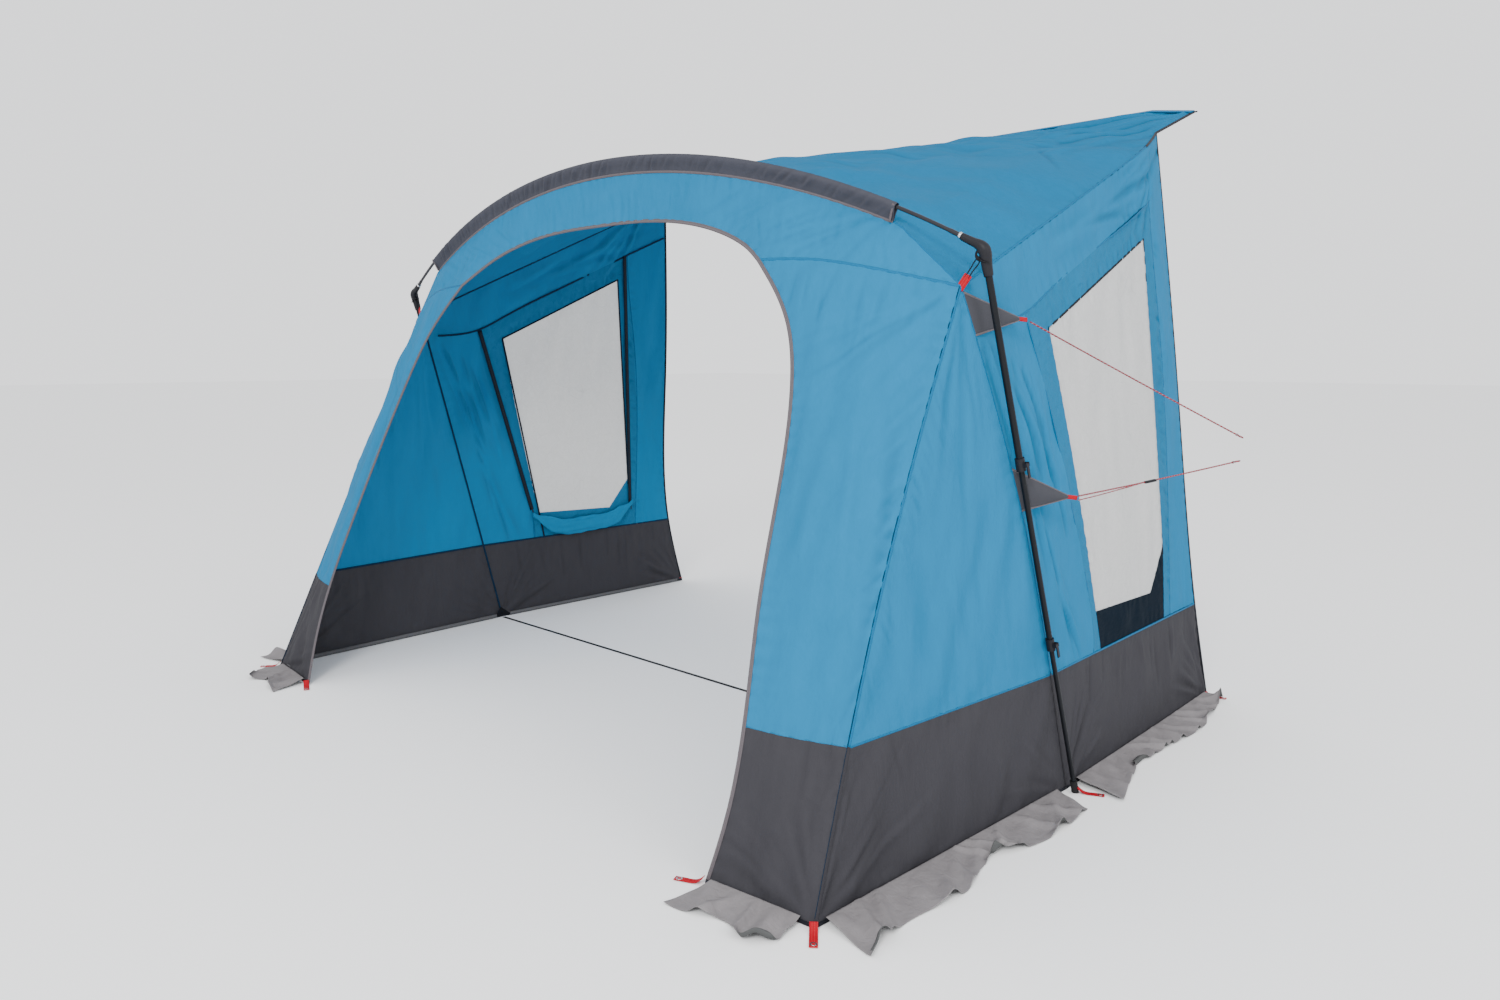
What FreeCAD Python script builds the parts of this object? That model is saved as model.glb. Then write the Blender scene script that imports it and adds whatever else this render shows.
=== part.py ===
"""Tunnel awning tent: one leaning arch pole on two telescopic legs, a fabric shell with an open
doorway in front and an open back that joins a vehicle.

Units are millimetres. +Z is up, +Y runs from the doorway to the vehicle, +X is to the right of
someone looking in through the doorway. The origin is on the ground in the middle of the footprint.
Left and right are mirror images, so most functions take side = +1 (right) or -1 (left).
"""

import FreeCAD, Part
import math
import os
import Sketcher

from FreeCAD import Placement, Rotation, Vector

doc = FreeCAD.newDocument("TunnelTent")
SIDES = {"right": 1, "left": -1}

# ---------------------------------------------------------------- driving dimensions
DIMENSIONS = {
    # footprint: where the fabric meets the ground
    "FrontCornerX": 1700.0,
    "FrontCornerY": -1250.0,
    "JambX": 1320.0,
    "JambY": -1280.0,
    "SeamFootX": 1755.0,
    "FootX": 1790.0,
    "FootY": 40.0,
    "RearCornerX": 1725.0,
    "RearCornerY": 1420.0,
    # shell heights
    "MudwallHeight": 437.0,
    "ShoulderX": 1605.0,
    "ShoulderY": -480.0,
    "ShoulderZ": 1705.0,
    "WallTopX": 1552.0,
    "WallTopY": 968.0,
    "WallTopZ": 2345.0,
    "RoofRearX": 1560.0,
    "RoofRearY": 1330.0,
    "RoofRearZ": 2505.0,
    "DoorTurnZ": 1600.0,
    "DoorTopZ": 2007.0,
    "FabricThickness": 1.6,
    "SeamGap": 5.0,
    # arch pole, in the plane that leans forward over the feet
    "ArchRadius": 3400.0,
    "ArchApex": 2326.0,
    "ArchLean": 15.75,
    "ArchHalfSpan": 1606.0,
    "PoleRadius": 6.35,
    "PoleBore": 3.6,
    "FerruleRadius": 7.4,
    "FerruleLength": 90.0,
    "ShockCordRadius": 1.5,
    "SleeveHalfSpan": 1385.0,
    "SleeveDrop": 50.0,
    "SleeveRadius": 11.0,
    # elbow between arch pole and leg
    "ElbowReach": 78.0,
    "ElbowLegSocket": 92.0,
    "ElbowWallTop": 13.5,
    "ElbowWallLeg": 15.5,
    "LugLength": 40.0,
    "LugThickness": 6.0,
    "LugHole": 6.5,
    # telescopic leg, measured up from the foot along the leg
    "LowerClampAt": 575.0,
    "UpperClampAt": 1208.0,
    "Insertion": 115.0,
    "TubeWall": 0.9,
    "UpperTubeRadius": 11.0,
    "MiddleTubeRadius": 9.5,
    "LowerTubeRadius": 8.0,
    "ClampHeight": 42.0,
    "ClampWall": 4.5,
    "LeverLength": 44.0,
    "LeverWidth": 11.0,
    "LeverThickness": 4.5,
    "LeverHub": 5.0,
    "HingePinRadius": 2.0,
    "HingeClearance": 0.06,
    "FootPlugRadius": 12.5,
    "FootPlugHeight": 46.0,
    # ground skirt
    "SkirtWidth": 235.0,
    "SkirtThickness": 1.6,
    "HalfDepth": 1460.0,
    # side window, in side view
    "WindowFrontTopY": 20.0,
    "WindowFrontTopZ": 1590.0,
    "WindowRearTopY": 810.0,
    "WindowRearTopZ": 1945.0,
    "WindowFrontBottomY": 325.0,
    "WindowRearBottomY": 940.0,
    "WindowBottomZ": 478.0,
    "BlindRadius": 20.0,
    "FilmThickness": 0.6,
    # zips of the window blind
    "ZipWidth": 12.0,
    "ZipThickness": 1.8,
    "SliderLength": 15.0,
    "SliderWidth": 9.0,
    "SliderThickness": 4.5,
    # webbing and peg points
    "WebbingWidth": 25.0,
    "WebbingThickness": 1.6,
    "LoopLength": 78.0,
    "EyeletBore": 5.5,
    "EyeletWall": 1.5,
    "EyeletFlange": 10.0,
    "StrapWidth": 20.0,
    # guy lines
    "GuyRadius": 1.75,
    "TensionerLength": 42.0,
    "TensionerWidth": 13.0,
    "TensionerThickness": 8.0,
    "KederRadius": 3.0,
}


def make_sheet():
    """Spreadsheet with one aliased cell for each driving dimension."""
    made = doc.addObject("Spreadsheet::Sheet", "Dimensions")
    for row, (name, value) in enumerate(DIMENSIONS.items(), start=1):
        made.set(f"A{row}", name)
        made.set(f"B{row}", str(value))
        made.setAlias(f"B{row}", name)
    doc.recompute()
    return made


sheet = make_sheet()
nodes = []


def dim(name):
    """The value of a driving dimension, in millimetres or degrees."""
    return float(sheet.get(name))


def bind(obj, **formulas):
    """Binds properties of a document object to spreadsheet formulas, such as Radius='PoleRadius'."""
    for name, formula in formulas.items():
        for alias in sorted(DIMENSIONS, key=len, reverse=True):
            formula = formula.replace(alias, f"<<{alias}>>")
        formula = formula.replace("<<", "Dimensions.").replace(">>", "")
        obj.setExpression(name, formula)
    return obj


def node(obj, label):
    """Marks a document object as a sub-part: its label names the STEP file."""
    obj.Label = label
    nodes.append(obj)
    return obj


def feature(label, shape):
    """A sub-part whose shape is set directly, for fabric and other free forms."""
    made = doc.addObject("Part::Feature", label)
    made.Shape = shape
    return node(made, label)


def compound(shapes):
    """Several separate solids as one shape."""
    return Part.makeCompound([solid for shape in shapes for solid in shape.Solids])


# ---------------------------------------------------------------- the leaning arch plane
LEAN = math.radians(dim("ArchLean"))
ARCH_UP = Vector(0, -math.sin(LEAN), math.cos(LEAN))
ARCH_NORMAL = Vector(0, -math.cos(LEAN), -math.sin(LEAN))
ARCH_ORIGIN = Vector(0, dim("FootY"), 0)
ARCH_CENTRE_HEIGHT = dim("ArchApex") - dim("ArchRadius")
ARCH_END = math.asin(dim("ArchHalfSpan") / dim("ArchRadius"))


def in_arch_plane(x, up):
    """Point of the arch plane: x across, up along the leaning plane."""
    return ARCH_ORIGIN + Vector(x, 0, 0) + ARCH_UP * up


def arch_frame(turn=0.0):
    """Placement at the arch's centre: its XY plane is the arch plane, turned about the centre."""
    rotation = Rotation(Vector(1, 0, 0), ARCH_UP, ARCH_NORMAL, "ZXY")
    centre = in_arch_plane(0, ARCH_CENTRE_HEIGHT)
    return Placement(centre, rotation.multiply(Rotation(Vector(0, 0, 1), turn)))


def elbow_point(side):
    """Where the arch pole's end tangent meets the leg's axis."""
    across = math.sin(ARCH_END) * dim("ArchRadius") + math.cos(ARCH_END) * dim("ElbowReach")
    up = ARCH_CENTRE_HEIGHT + math.cos(ARCH_END) * dim("ArchRadius") - math.sin(ARCH_END) * dim("ElbowReach")
    return in_arch_plane(side * across, up)


def foot_point(side):
    return Vector(side * dim("FootX"), dim("FootY"), 0)


def leg_frame(side, height=0.0):
    """Placement on the leg's axis: Z up the leg, X outward in the arch plane."""
    foot = foot_point(side)
    up = (elbow_point(side) - foot).normalize()
    across = ARCH_NORMAL * -side
    outward = across.cross(up).normalize()
    if outward.x * side < 0:
        outward = outward * -1
    tangential = up.cross(outward)
    return Placement(foot + up * height, Rotation(outward, tangential, up, "ZXY"))


LEG_LENGTH = (elbow_point(1) - foot_point(1)).Length
SEAT_DEPTH = 18.0
ELBOW_STOP = 44.0
END_GAP = 4.0
POLE_STOP = 22.0
EAR_THICKNESS = 3.5
FOOT_FLOOR = 7.0


# ---------------------------------------------------------------- parametric building blocks
def cylinder(name, placement, **formulas):
    made = bind(doc.addObject("Part::Cylinder", name), **formulas)
    made.Placement = placement
    return made


def cut(name, base, tool):
    made = doc.addObject("Part::Cut", name)
    made.Base = base
    made.Tool = tool
    return made


def fuse(name, *shapes):
    made = doc.addObject("Part::MultiFuse", name)
    made.Shapes = list(shapes)
    return made


def arch_tube(label, start_deg, sweep_deg, radius, bore):
    """Curved tube on the arch's circle, from start_deg, anticlockwise seen from the front."""
    outer = bind(doc.addObject("Part::Torus", label + "Outer"), Radius1="ArchRadius", Radius2=radius)
    inner = bind(doc.addObject("Part::Torus", label + "Inner"), Radius1="ArchRadius", Radius2=bore)
    for torus in (outer, inner):
        torus.Angle3 = sweep_deg
    made = cut(label, outer, inner)
    made.Placement = arch_frame(start_deg)
    return made


def leg_tube(label, side, start, length, radius):
    """Straight tube on the leg's axis from a height up; length and radius are formulas of the sheet."""
    outer = cylinder(label + "Outer", Placement(), Radius=radius, Height=length)
    inner = cylinder(label + "Inner", Placement(), Radius=f"{radius} - TubeWall", Height=length)
    made = cut(label, outer, inner)
    doc.recompute()
    made.Placement = leg_frame(side, start)
    return made


# ---------------------------------------------------------------- arch pole
def make_arch_pole():
    """Three fibreglass sections with ferrules at the joints and at both ends, and the cord inside."""
    end = math.degrees(ARCH_END)
    third = 2 * end / 3
    for index, label in enumerate(("arch_pole_right", "arch_pole_centre", "arch_pole_left")):
        node(arch_tube(label, 90 - end + index * third, third, "PoleRadius", "PoleBore"), label)
    ferrules = []
    half = math.degrees(dim("FerruleLength") / dim("ArchRadius")) / 2
    for index in (1, 2):
        start = 90 - end + index * third - half
        name = f"JointFerrule{index}"
        ferrules.append(arch_tube(name, start, 2 * half, "FerruleRadius", "PoleRadius + 0.02"))
    for name, start in (("EndFerruleRight", 90 - end), ("EndFerruleLeft", 90 + end - half)):
        ferrules.append(arch_tube(name, start, half, "FerruleRadius", "PoleRadius + 0.02"))
    doc.recompute()
    group = doc.addObject("Part::Compound", "PoleFerrules")
    group.Links = ferrules
    node(group, "pole_ferrules")
    cord = bind(doc.addObject("Part::Torus", "ShockCord"), Radius1="ArchRadius", Radius2="ShockCordRadius")
    cord.Angle3 = 2 * end
    cord.Placement = arch_frame(90 - end)
    node(cord, "shock_cord")


# ---------------------------------------------------------------- elbows
def tube_along(name, start, direction, length, radius):
    """Cylinder object from a point along a direction; length and radius are formulas of the sheet."""
    turn = Rotation(Vector(0, 0, 1), direction)
    return cylinder(name, Placement(start, turn), Radius=radius, Height=length)


def lug_direction(side):
    """Direction of the elbow's lug: towards the shoulder, but within the arch plane."""
    way = shoulder(side) - elbow_point(side)
    return (way - ARCH_NORMAL * way.dot(ARCH_NORMAL)).normalize()


def make_elbow(side_name, side):
    """Moulded elbow: a socket for the arch pole's end, a socket for the leg and a lug with an eye."""
    label = f"elbow_{side_name}"
    bend = elbow_point(side)
    to_arch = Vector(-side * math.cos(ARCH_END), 0, 0) + ARCH_UP * math.sin(ARCH_END)
    to_leg = (foot_point(side) - bend).normalize()
    ball = bind(doc.addObject("Part::Sphere", label + "Ball"), Radius="ElbowWallLeg")
    ball.Placement = Placement(bend, Rotation())
    arch_socket = tube_along(label + "ArchSocket", bend, to_arch, "ElbowReach - 6", "ElbowWallTop")
    leg_socket = tube_along(label + "LegSocket", bend, to_leg, "ElbowLegSocket", "ElbowWallLeg")
    lug_way = lug_direction(side)
    lug = bind(
        doc.addObject("Part::Box", label + "Lug"),
        Length="LugLength + LugHole * 1.6", Width="LugHole * 3.2", Height="LugThickness",
    )
    doc.recompute()
    flat = Rotation(lug_way, ARCH_NORMAL.cross(lug_way), ARCH_NORMAL, "ZXY")
    half_width = dim("LugHole") * 1.6
    corner = bend - flat.multVec(Vector(0, half_width, dim("LugThickness") / 2))
    lug.Placement = Placement(corner, flat)
    body = fuse(label + "Body", ball, arch_socket, leg_socket, lug)
    arch_start, leg_start = bend + to_arch * POLE_STOP, bend + to_leg * (ELBOW_STOP - END_GAP)
    pole_bore = tube_along(label + "PoleBore", arch_start, to_arch, "ElbowReach", "FerruleRadius + 0.1")
    leg_bore = tube_along(label + "LegBore", leg_start, to_leg, "ElbowLegSocket", "UpperTubeRadius + 0.1")
    eye_start = bend + lug_way * dim("LugLength") - ARCH_NORMAL * 20
    eye = tube_along(label + "Eye", eye_start, ARCH_NORMAL, "LugLength", "LugHole")
    node(cut(label, body, fuse(label + "Bores", pole_bore, leg_bore, eye)), label)


# ---------------------------------------------------------------- telescopic legs
def make_leg(side_name, side):
    """Three tubes that slide into each other; the upper one is held in the elbow."""
    upper_end, middle_end = dim("UpperClampAt") - SEAT_DEPTH, dim("LowerClampAt") - SEAT_DEPTH
    upper_length = str(LEG_LENGTH - ELBOW_STOP - upper_end)
    middle_length = f"UpperClampAt - LowerClampAt + {SEAT_DEPTH} + Insertion"
    lower_length = f"LowerClampAt + Insertion - {FOOT_FLOOR}"
    tubes = (
        ("leg_upper_tube", upper_end, upper_length, "UpperTubeRadius"),
        ("leg_middle_tube", middle_end, middle_length, "MiddleTubeRadius"),
        ("leg_lower_tube", FOOT_FLOOR, lower_length, "LowerTubeRadius"),
    )
    for name, start, length, radius in tubes:
        label = f"{name}_{side_name}"
        node(leg_tube(label, side, start, length, radius), label)


def make_clamp(level, side_name, side):
    """Cam clamp at the end of a tube: a stepped collar with two ears and a hinge pin, and its lever."""
    outer_radius = {"upper": "UpperTubeRadius", "lower": "MiddleTubeRadius"}[level]
    inner_radius = {"upper": "MiddleTubeRadius", "lower": "LowerTubeRadius"}[level]
    at = dim({"upper": "UpperClampAt", "lower": "LowerClampAt"}[level])
    where = leg_frame(side, at)
    tag = f"{level}_{side_name}"
    low = Placement(Vector(0, 0, -dim("ClampHeight") / 2), Rotation())
    step = Placement(Vector(0, 0, -SEAT_DEPTH - 0.2), Rotation())
    ring = cylinder(f"Ring_{tag}", low, Radius=f"{outer_radius} + ClampWall", Height="ClampHeight")
    through = cylinder(f"Through_{tag}", low, Radius=f"{inner_radius} + 0.3", Height="ClampHeight")
    seat = cylinder(f"Seat_{tag}", step, Radius=f"{outer_radius} + 0.1", Height="ClampHeight")
    pin_x = dim(outer_radius) + dim("ClampWall") + dim("LeverHub") + 1.5
    ear_gap = dim("LeverWidth") / 2 + 0.4
    ear_low = -dim("LeverHub") * 1.3
    ears = []
    for sign in (1, -1):
        ear = doc.addObject("Part::Box", f"Ear{sign:+d}_{tag}")
        bind(ear, Width=str(EAR_THICKNESS), Height="LeverHub * 2.6")
        ear.Length = pin_x + 5 - dim(outer_radius)
        ear_side = ear_gap if sign > 0 else -ear_gap - EAR_THICKNESS
        ear.Placement.Base = Vector(dim(outer_radius), ear_side, ear_low)
        ears.append(ear)
    solid_ring = fuse(f"Collar_{tag}", ring, *ears)
    collar = cut(f"HollowCollar_{tag}", solid_ring, fuse(f"Bores_{tag}", through, seat))
    across = Rotation(Vector(0, 0, 1), Vector(0, 1, 0))
    through_ears = Placement(Vector(pin_x, -15, 0), across)
    hole = cylinder(f"PinHole_{tag}", through_ears, Radius="HingePinRadius", Height="30")
    pin = cylinder(
        f"Pin_{tag}", Placement(Vector(pin_x, -ear_gap - EAR_THICKNESS, 0), across),
        Radius="HingePinRadius", Height="LeverWidth + 7.8",
    )
    bored = cut(f"BoredCollar_{tag}", collar, hole)
    doc.recompute()
    both = doc.addObject("Part::Compound", f"Clamp_{tag}")
    both.Links = [bored, pin]
    both.Placement = where
    node(both, f"clamp_{tag}")
    make_lever(tag, pin_x, where)


def make_lever(tag, pin_x, where):
    """Lever padded from a side profile: a round hub on the hinge pin and an arm that hangs down."""
    body = doc.addObject("PartDesign::Body", f"Lever_{tag}")
    plane = next(f for f in body.Origin.OriginFeatures if f.Role == "XZ_Plane")
    sketch = body.newObject("Sketcher::SketchObject", f"LeverProfile_{tag}")
    sketch.AttachmentSupport = [(plane, "")]
    sketch.MapMode = "FlatFace"
    hub, arm, thick = dim("LeverHub"), dim("LeverLength"), dim("LeverThickness")
    line = sketch.addGeometry(Part.LineSegment(Vector(hub, 0, 0), Vector(hub, -arm, 0)))
    tip = sketch.addGeometry(Part.LineSegment(Vector(hub, -arm, 0), Vector(hub - thick, -arm, 0)))
    back = sketch.addGeometry(Part.LineSegment(Vector(hub - thick, -arm, 0), Vector(hub - thick, -hub, 0)))
    low = sketch.addGeometry(Part.LineSegment(Vector(hub - thick, -hub, 0), Vector(0, -hub, 0)))
    circle = Part.Circle(Vector(0, 0, 0), Vector(0, 0, 1), hub)
    arc = sketch.addGeometry(Part.ArcOfCircle(circle, 0, 1.5 * math.pi))
    joints = ((line, 2, tip, 1), (tip, 2, back, 1), (back, 2, low, 1), (low, 2, arc, 2), (arc, 1, line, 1))
    for first, first_end, second, second_end in joints:
        sketch.addConstraint(Sketcher.Constraint("Coincident", first, first_end, second, second_end))
    sketch.addConstraint(Sketcher.Constraint("Coincident", arc, 3, -1, 1))
    for name, geometry, value in (("Arm", line, arm), ("Thick", tip, thick)):
        index = sketch.addConstraint(Sketcher.Constraint("Distance", geometry, value))
        sketch.renameConstraint(index, name)
    index = sketch.addConstraint(Sketcher.Constraint("Radius", arc, hub))
    sketch.renameConstraint(index, "Hub")
    sketch.addConstraint(Sketcher.Constraint("Vertical", line))
    sketch.addConstraint(Sketcher.Constraint("Horizontal", tip))
    sketch.addConstraint(Sketcher.Constraint("Vertical", back))
    sketch.addConstraint(Sketcher.Constraint("Horizontal", low))
    sizes = {"Arm": "LeverLength", "Thick": "LeverThickness", "Hub": "LeverHub"}
    bind(sketch, **{f"Constraints.{name}": value for name, value in sizes.items()})
    pad = body.newObject("PartDesign::Pad", f"LeverPad_{tag}")
    pad.Profile = sketch
    pad.Midplane = True
    bind(pad, Length="LeverWidth")
    doc.recompute()
    across = Placement(Vector(0, -dim("LeverWidth"), 0), Rotation(Vector(0, 0, 1), Vector(0, 1, 0)))
    bore = cylinder(
        f"LeverBore_{tag}", across,
        Radius="HingePinRadius + HingeClearance", Height="LeverWidth * 2",
    )
    made = cut(f"BoredLever_{tag}", body, bore)
    doc.recompute()
    made.Placement = where.multiply(Placement(Vector(pin_x, 0, 0), Rotation()))
    node(made, f"lever_{tag}")


def make_foot(side_name, side):
    """Rubber foot over the end of the lower tube, cut flat where it stands on the ground."""
    label = f"foot_plug_{side_name}"
    where = leg_frame(side, -25)
    cap = cylinder(label + "Cap", where, Radius="FootPlugRadius", Height="FootPlugHeight + 25")
    ground = bind(doc.addObject("Part::Box", label + "Ground"), Length="200", Width="200", Height="200")
    ground.Placement.Base = foot_point(side) - Vector(100, 100, 0)
    flat = doc.addObject("Part::Common", label + "Flat")
    flat.Base = cap
    flat.Tool = ground
    inside = leg_frame(side, FOOT_FLOOR - 0.4)
    bore = cylinder(label + "Bore", inside, Radius="LowerTubeRadius + 0.05", Height="FootPlugHeight")
    node(cut(label, flat, bore), label)


# ---------------------------------------------------------------- edges of the shell
def smooth(points, count):
    """Evenly spaced points on one smooth curve through the given ones."""
    curve = Part.BSplineCurve()
    curve.interpolate([Vector(*p) for p in points])
    return curve.discretize(Number=count)


def mirrored(points, side):
    return [Vector(side * p.x, p.y, p.z) for p in points]


def shoulder(side=1):
    """Where front, side and roof meet, just under the elbow."""
    return Vector(side * dim("ShoulderX"), dim("ShoulderY"), dim("ShoulderZ"))


def front_ridge(count):
    """Front corner seam, from the ground up to the shoulder, bowed slightly inward."""
    low = Vector(dim("FrontCornerX"), dim("FrontCornerY"), 0)
    mid = (low + shoulder()) * 0.5 + Vector(-22, -16, 0)
    return smooth([low, mid, shoulder()], count)


def pole_seam(count):
    """Side seam behind the leg, from the foot up to the shoulder."""
    low = Vector(dim("SeamFootX"), dim("FootY"), 0)
    hip = low * 0.38 + shoulder() * 0.62 + Vector(35, 22, 0)
    return smooth([low, hip, shoulder()], count)


def rear_edge(count):
    """Rear edge of the side wall, from the ground up to the roof."""
    low = Vector(dim("RearCornerX"), dim("RearCornerY"), 0)
    top = Vector(dim("WallTopX"), dim("WallTopY"), dim("WallTopZ"))
    hip = low + (top - low) * 0.2 + Vector(0, -40, 0)
    return smooth([low, hip, low + (top - low) * 0.6, top], count)


def door_jamb(count):
    """Door edge, from the ground up to where the front seam starts."""
    low = Vector(dim("JambX"), dim("JambY"), 0)
    middle = [(1347, -1220, 200), (1284, -1017, 800), (1192, -778, 1400), (1112, -708, 1600)]
    return smooth([low, *middle, door_shoulder()], count)


def door_shoulder():
    """Where the door edge meets the front seam."""
    return Vector(922, -643, 1814)


def door_head(count):
    """Door edge over the top, from the right door shoulder to the left one."""
    top = Vector(0, -575, dim("DoorTopZ"))
    middle = [(850, -618, 1860), (740, -600, 1911), (590, -587, 1957), (300, -577, 2000)]
    half = [door_shoulder(), *(Vector(*p) for p in middle)]
    return smooth(half + [top] + mirrored(reversed(half), -1), count)


def front_seam(count):
    """Seam from the door shoulder out to the shoulder of the tent."""
    return smooth([door_shoulder(), Vector(1150, -620, 1802), Vector(1355, -575, 1765), shoulder()], count)


def arch_line(angle):
    """Point of the fabric's arch line, under the sleeve, at an angle from the top."""
    radius = dim("ArchRadius") - dim("SleeveDrop")
    return in_arch_plane(math.sin(angle) * radius, ARCH_CENTRE_HEIGHT + math.cos(angle) * radius)


SLEEVE_END = math.asin(dim("SleeveHalfSpan") / (dim("ArchRadius") - dim("SleeveDrop")))


def roof_front(count):
    """Front edge of the roof, from the right shoulder over the arch to the left shoulder."""
    arc = [arch_line(SLEEVE_END * (1 - 2 * i / (count - 1))) for i in range(count)]
    hip = [shoulder() + (arc[0] - shoulder()) * (i / 4) for i in range(4)]
    return hip + arc + [Vector(-p.x, p.y, p.z) for p in reversed(hip)]


# ---------------------------------------------------------------- fabric panels
def panel(first, second, inset_first=None, inset_second=None, thickness=None):
    """Thin closed solid of a sheet that spans straight from each point of one edge to its partner."""
    gap = dim("SeamGap")
    inset_first = gap if inset_first is None else inset_first
    inset_second = gap if inset_second is None else inset_second
    half = (thickness or dim("FabricThickness")) / 2
    wires = []
    for i, (a, b) in enumerate(zip(first, second)):
        along = (b - a).normalize()
        before, after = max(i - 1, 0), min(i + 1, len(first) - 1)
        forward = first[after] + second[after] - first[before] - second[before]
        normal = along.cross(forward).normalize() * half
        a, b = a + along * inset_first, b - along * inset_second
        wires.append(Part.makePolygon([a + normal, b + normal, b - normal, a - normal, a + normal]))
    return Part.makeLoft(wires, True, True)


def trimmed(points, first, last):
    """The points without some at either end."""
    return points[first : len(points) - last]


def band(low, high):
    """Large box between two heights."""
    return Part.makeBox(6000, 6000, high - low, Vector(-3000, -3000, low))


def split_mudwall(whole):
    """A wall's coloured part above and its grey mudwall part below."""
    height = dim("MudwallHeight")
    return whole.common(band(height + 1, 4000)), whole.common(band(2.2, height - 1))


def window_prism(side, grow):
    """Window outline in side view, as a solid across the wall; grow widens it."""
    front_top = (dim("WindowFrontTopY") - grow, dim("WindowFrontTopZ") + grow)
    rear_top = (dim("WindowRearTopY") + grow, dim("WindowRearTopZ") + grow)
    rear_low = (dim("WindowRearBottomY") + grow, dim("WindowBottomZ") - grow)
    front_low = (dim("WindowFrontBottomY") - grow, dim("WindowBottomZ") - grow)
    outline = [Vector(side * 1400, y, z) for y, z in (front_top, rear_top, rear_low, front_low, front_top)]
    return Part.Face(Part.makePolygon(outline)).extrude(Vector(side * 500, 0, 0))


def make_walls(side_name, side):
    """Front panel, side walls, mudwall and window film of one side."""
    count = 19
    ridge, seam = mirrored(front_ridge(count), side), mirrored(pole_seam(count), side)
    rear = mirrored(rear_edge(count), side)
    jamb = mirrored(door_jamb(14) + front_seam(8)[1:], side)
    front = panel(trimmed(jamb, 0, 1), trimmed(mirrored(front_ridge(len(jamb)), side), 0, 1))
    side_front = panel(trimmed(ridge, 0, 1), trimmed(seam, 0, 1))
    side_rear = panel(seam, rear, inset_second=0)
    roof_edge_cut = panel_above_roof(side)
    side_rear = side_rear.cut(roof_edge_cut)
    front_grey = split_mudwall(front)[1]
    side_front_blue, side_front_grey = split_mudwall(side_front)
    side_rear_blue, side_rear_grey = split_mudwall(side_rear)
    film = panel(seam, rear, inset_second=0, thickness=dim("FilmThickness")).common(window_prism(side, -1))
    turn = dim("DoorTurnZ")
    feature(f"front_panel_{side_name}", front.common(band(dim("MudwallHeight") + 1, turn - 1)))
    feature(f"front_panel_head_{side_name}", front.common(band(turn + 1, 4000)))
    feature(f"side_front_{side_name}", side_front_blue)
    feature(f"side_rear_{side_name}", side_rear_blue.cut(window_prism(side, 1)))
    feature(f"window_film_{side_name}", film)
    feature(f"mudwall_{side_name}", compound([front_grey, side_front_grey, side_rear_grey]))


def panel_above_roof(side):
    """Solid that trims the side wall just below the roof's edge."""
    low, high = shoulder(side), Vector(side * dim("WallTopX"), dim("WallTopY"), dim("WallTopZ"))
    run = high - low
    start, end = low - run * 0.2 - Vector(0, 0, 12), high + run * 0.5 - Vector(0, 0, 12)
    base = [Vector(side * 1200, p.y, p.z) for p in (start, end)]
    outline = [base[0], base[1], base[1] + Vector(0, 0, 600), base[0] + Vector(0, 0, 600), base[0]]
    return Part.Face(Part.makePolygon(outline)).extrude(Vector(side * 800, 0, 0))


def make_roof():
    """Roof sheet from the arch line back to the beaded rear edge."""
    front = roof_front(17)
    reach = dim("RoofRearX")
    widest = front[0].x
    rear = [Vector(reach * p.x / widest, dim("RoofRearY"), dim("RoofRearZ")) for p in front]
    front[0], rear[0] = front[0] + Vector(-4, 0, 3), rear[0] + Vector(-4, 0, 0)
    front[-1], rear[-1] = front[-1] + Vector(4, 0, 3), rear[-1] + Vector(4, 0, 0)
    feature("roof_panel", panel(front, rear, inset_second=dim("KederRadius") + 1.5))


def make_brow():
    """Band between the doorway's head and the arch line."""
    arc = roof_front(17)
    seam = front_seam(5)
    seam.reverse()
    lower = seam[:-1] + door_head(15) + [Vector(-p.x, p.y, p.z) for p in reversed(seam[:-1])]
    feature("brow_panel", panel(trimmed(lower, 1, 1), trimmed(arc, 1, 1), inset_second=7))


def make_sleeve():
    """Grey sleeve on the arch pole: a tube of fabric with a flat tail that is sewn to the roof."""
    end = math.degrees(math.asin(dim("SleeveHalfSpan") / dim("ArchRadius")))
    ring = arch_tube("SleeveRing", 90 - end, 2 * end, "SleeveRadius", "SleeveRadius - FabricThickness")
    ring.Placement = Placement()
    outer = bind(
        doc.addObject("Part::Cylinder", "TailOuter"),
        Radius="ArchRadius - SleeveRadius + FabricThickness / 2", Height="FabricThickness",
    )
    inner = doc.addObject("Part::Cylinder", "TailInner")
    bind(inner, Radius="ArchRadius - SleeveDrop", Height="FabricThickness")
    for disc in (outer, inner):
        disc.Angle = 2 * end
        disc.Placement.Base = Vector(0, 0, -dim("FabricThickness") / 2)
    made = fuse("PoleSleeve", ring, cut("SleeveTail", outer, inner))
    doc.recompute()
    made.Placement = arch_frame(90 - end)
    node(made, "pole_sleeve")


def make_door_binding():
    """Bound edge of the doorway, from the ground on the right over the head to the left."""
    right = door_jamb(24)
    left = [Vector(-p.x, p.y, p.z) for p in right]
    path = right + door_head(25)[1:-1] + list(reversed(left))
    path[0], path[-1] = path[0] + Vector(0, 0, 4), path[-1] + Vector(0, 0, 4)
    centre = Vector(0, -900, 900)
    inner, outer = [], []
    for i, p in enumerate(path):
        before, after = path[max(i - 1, 0)], path[min(i + 1, len(path) - 1)]
        tangent = (after - before).normalize()
        away = p - centre
        away = (away - tangent * away.dot(tangent)).normalize()
        inner.append(p - away * 3.5)
        outer.append(p + away * 3.5)
    feature("door_binding", panel(inner, outer, 0, 0, 3.0))


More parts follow.
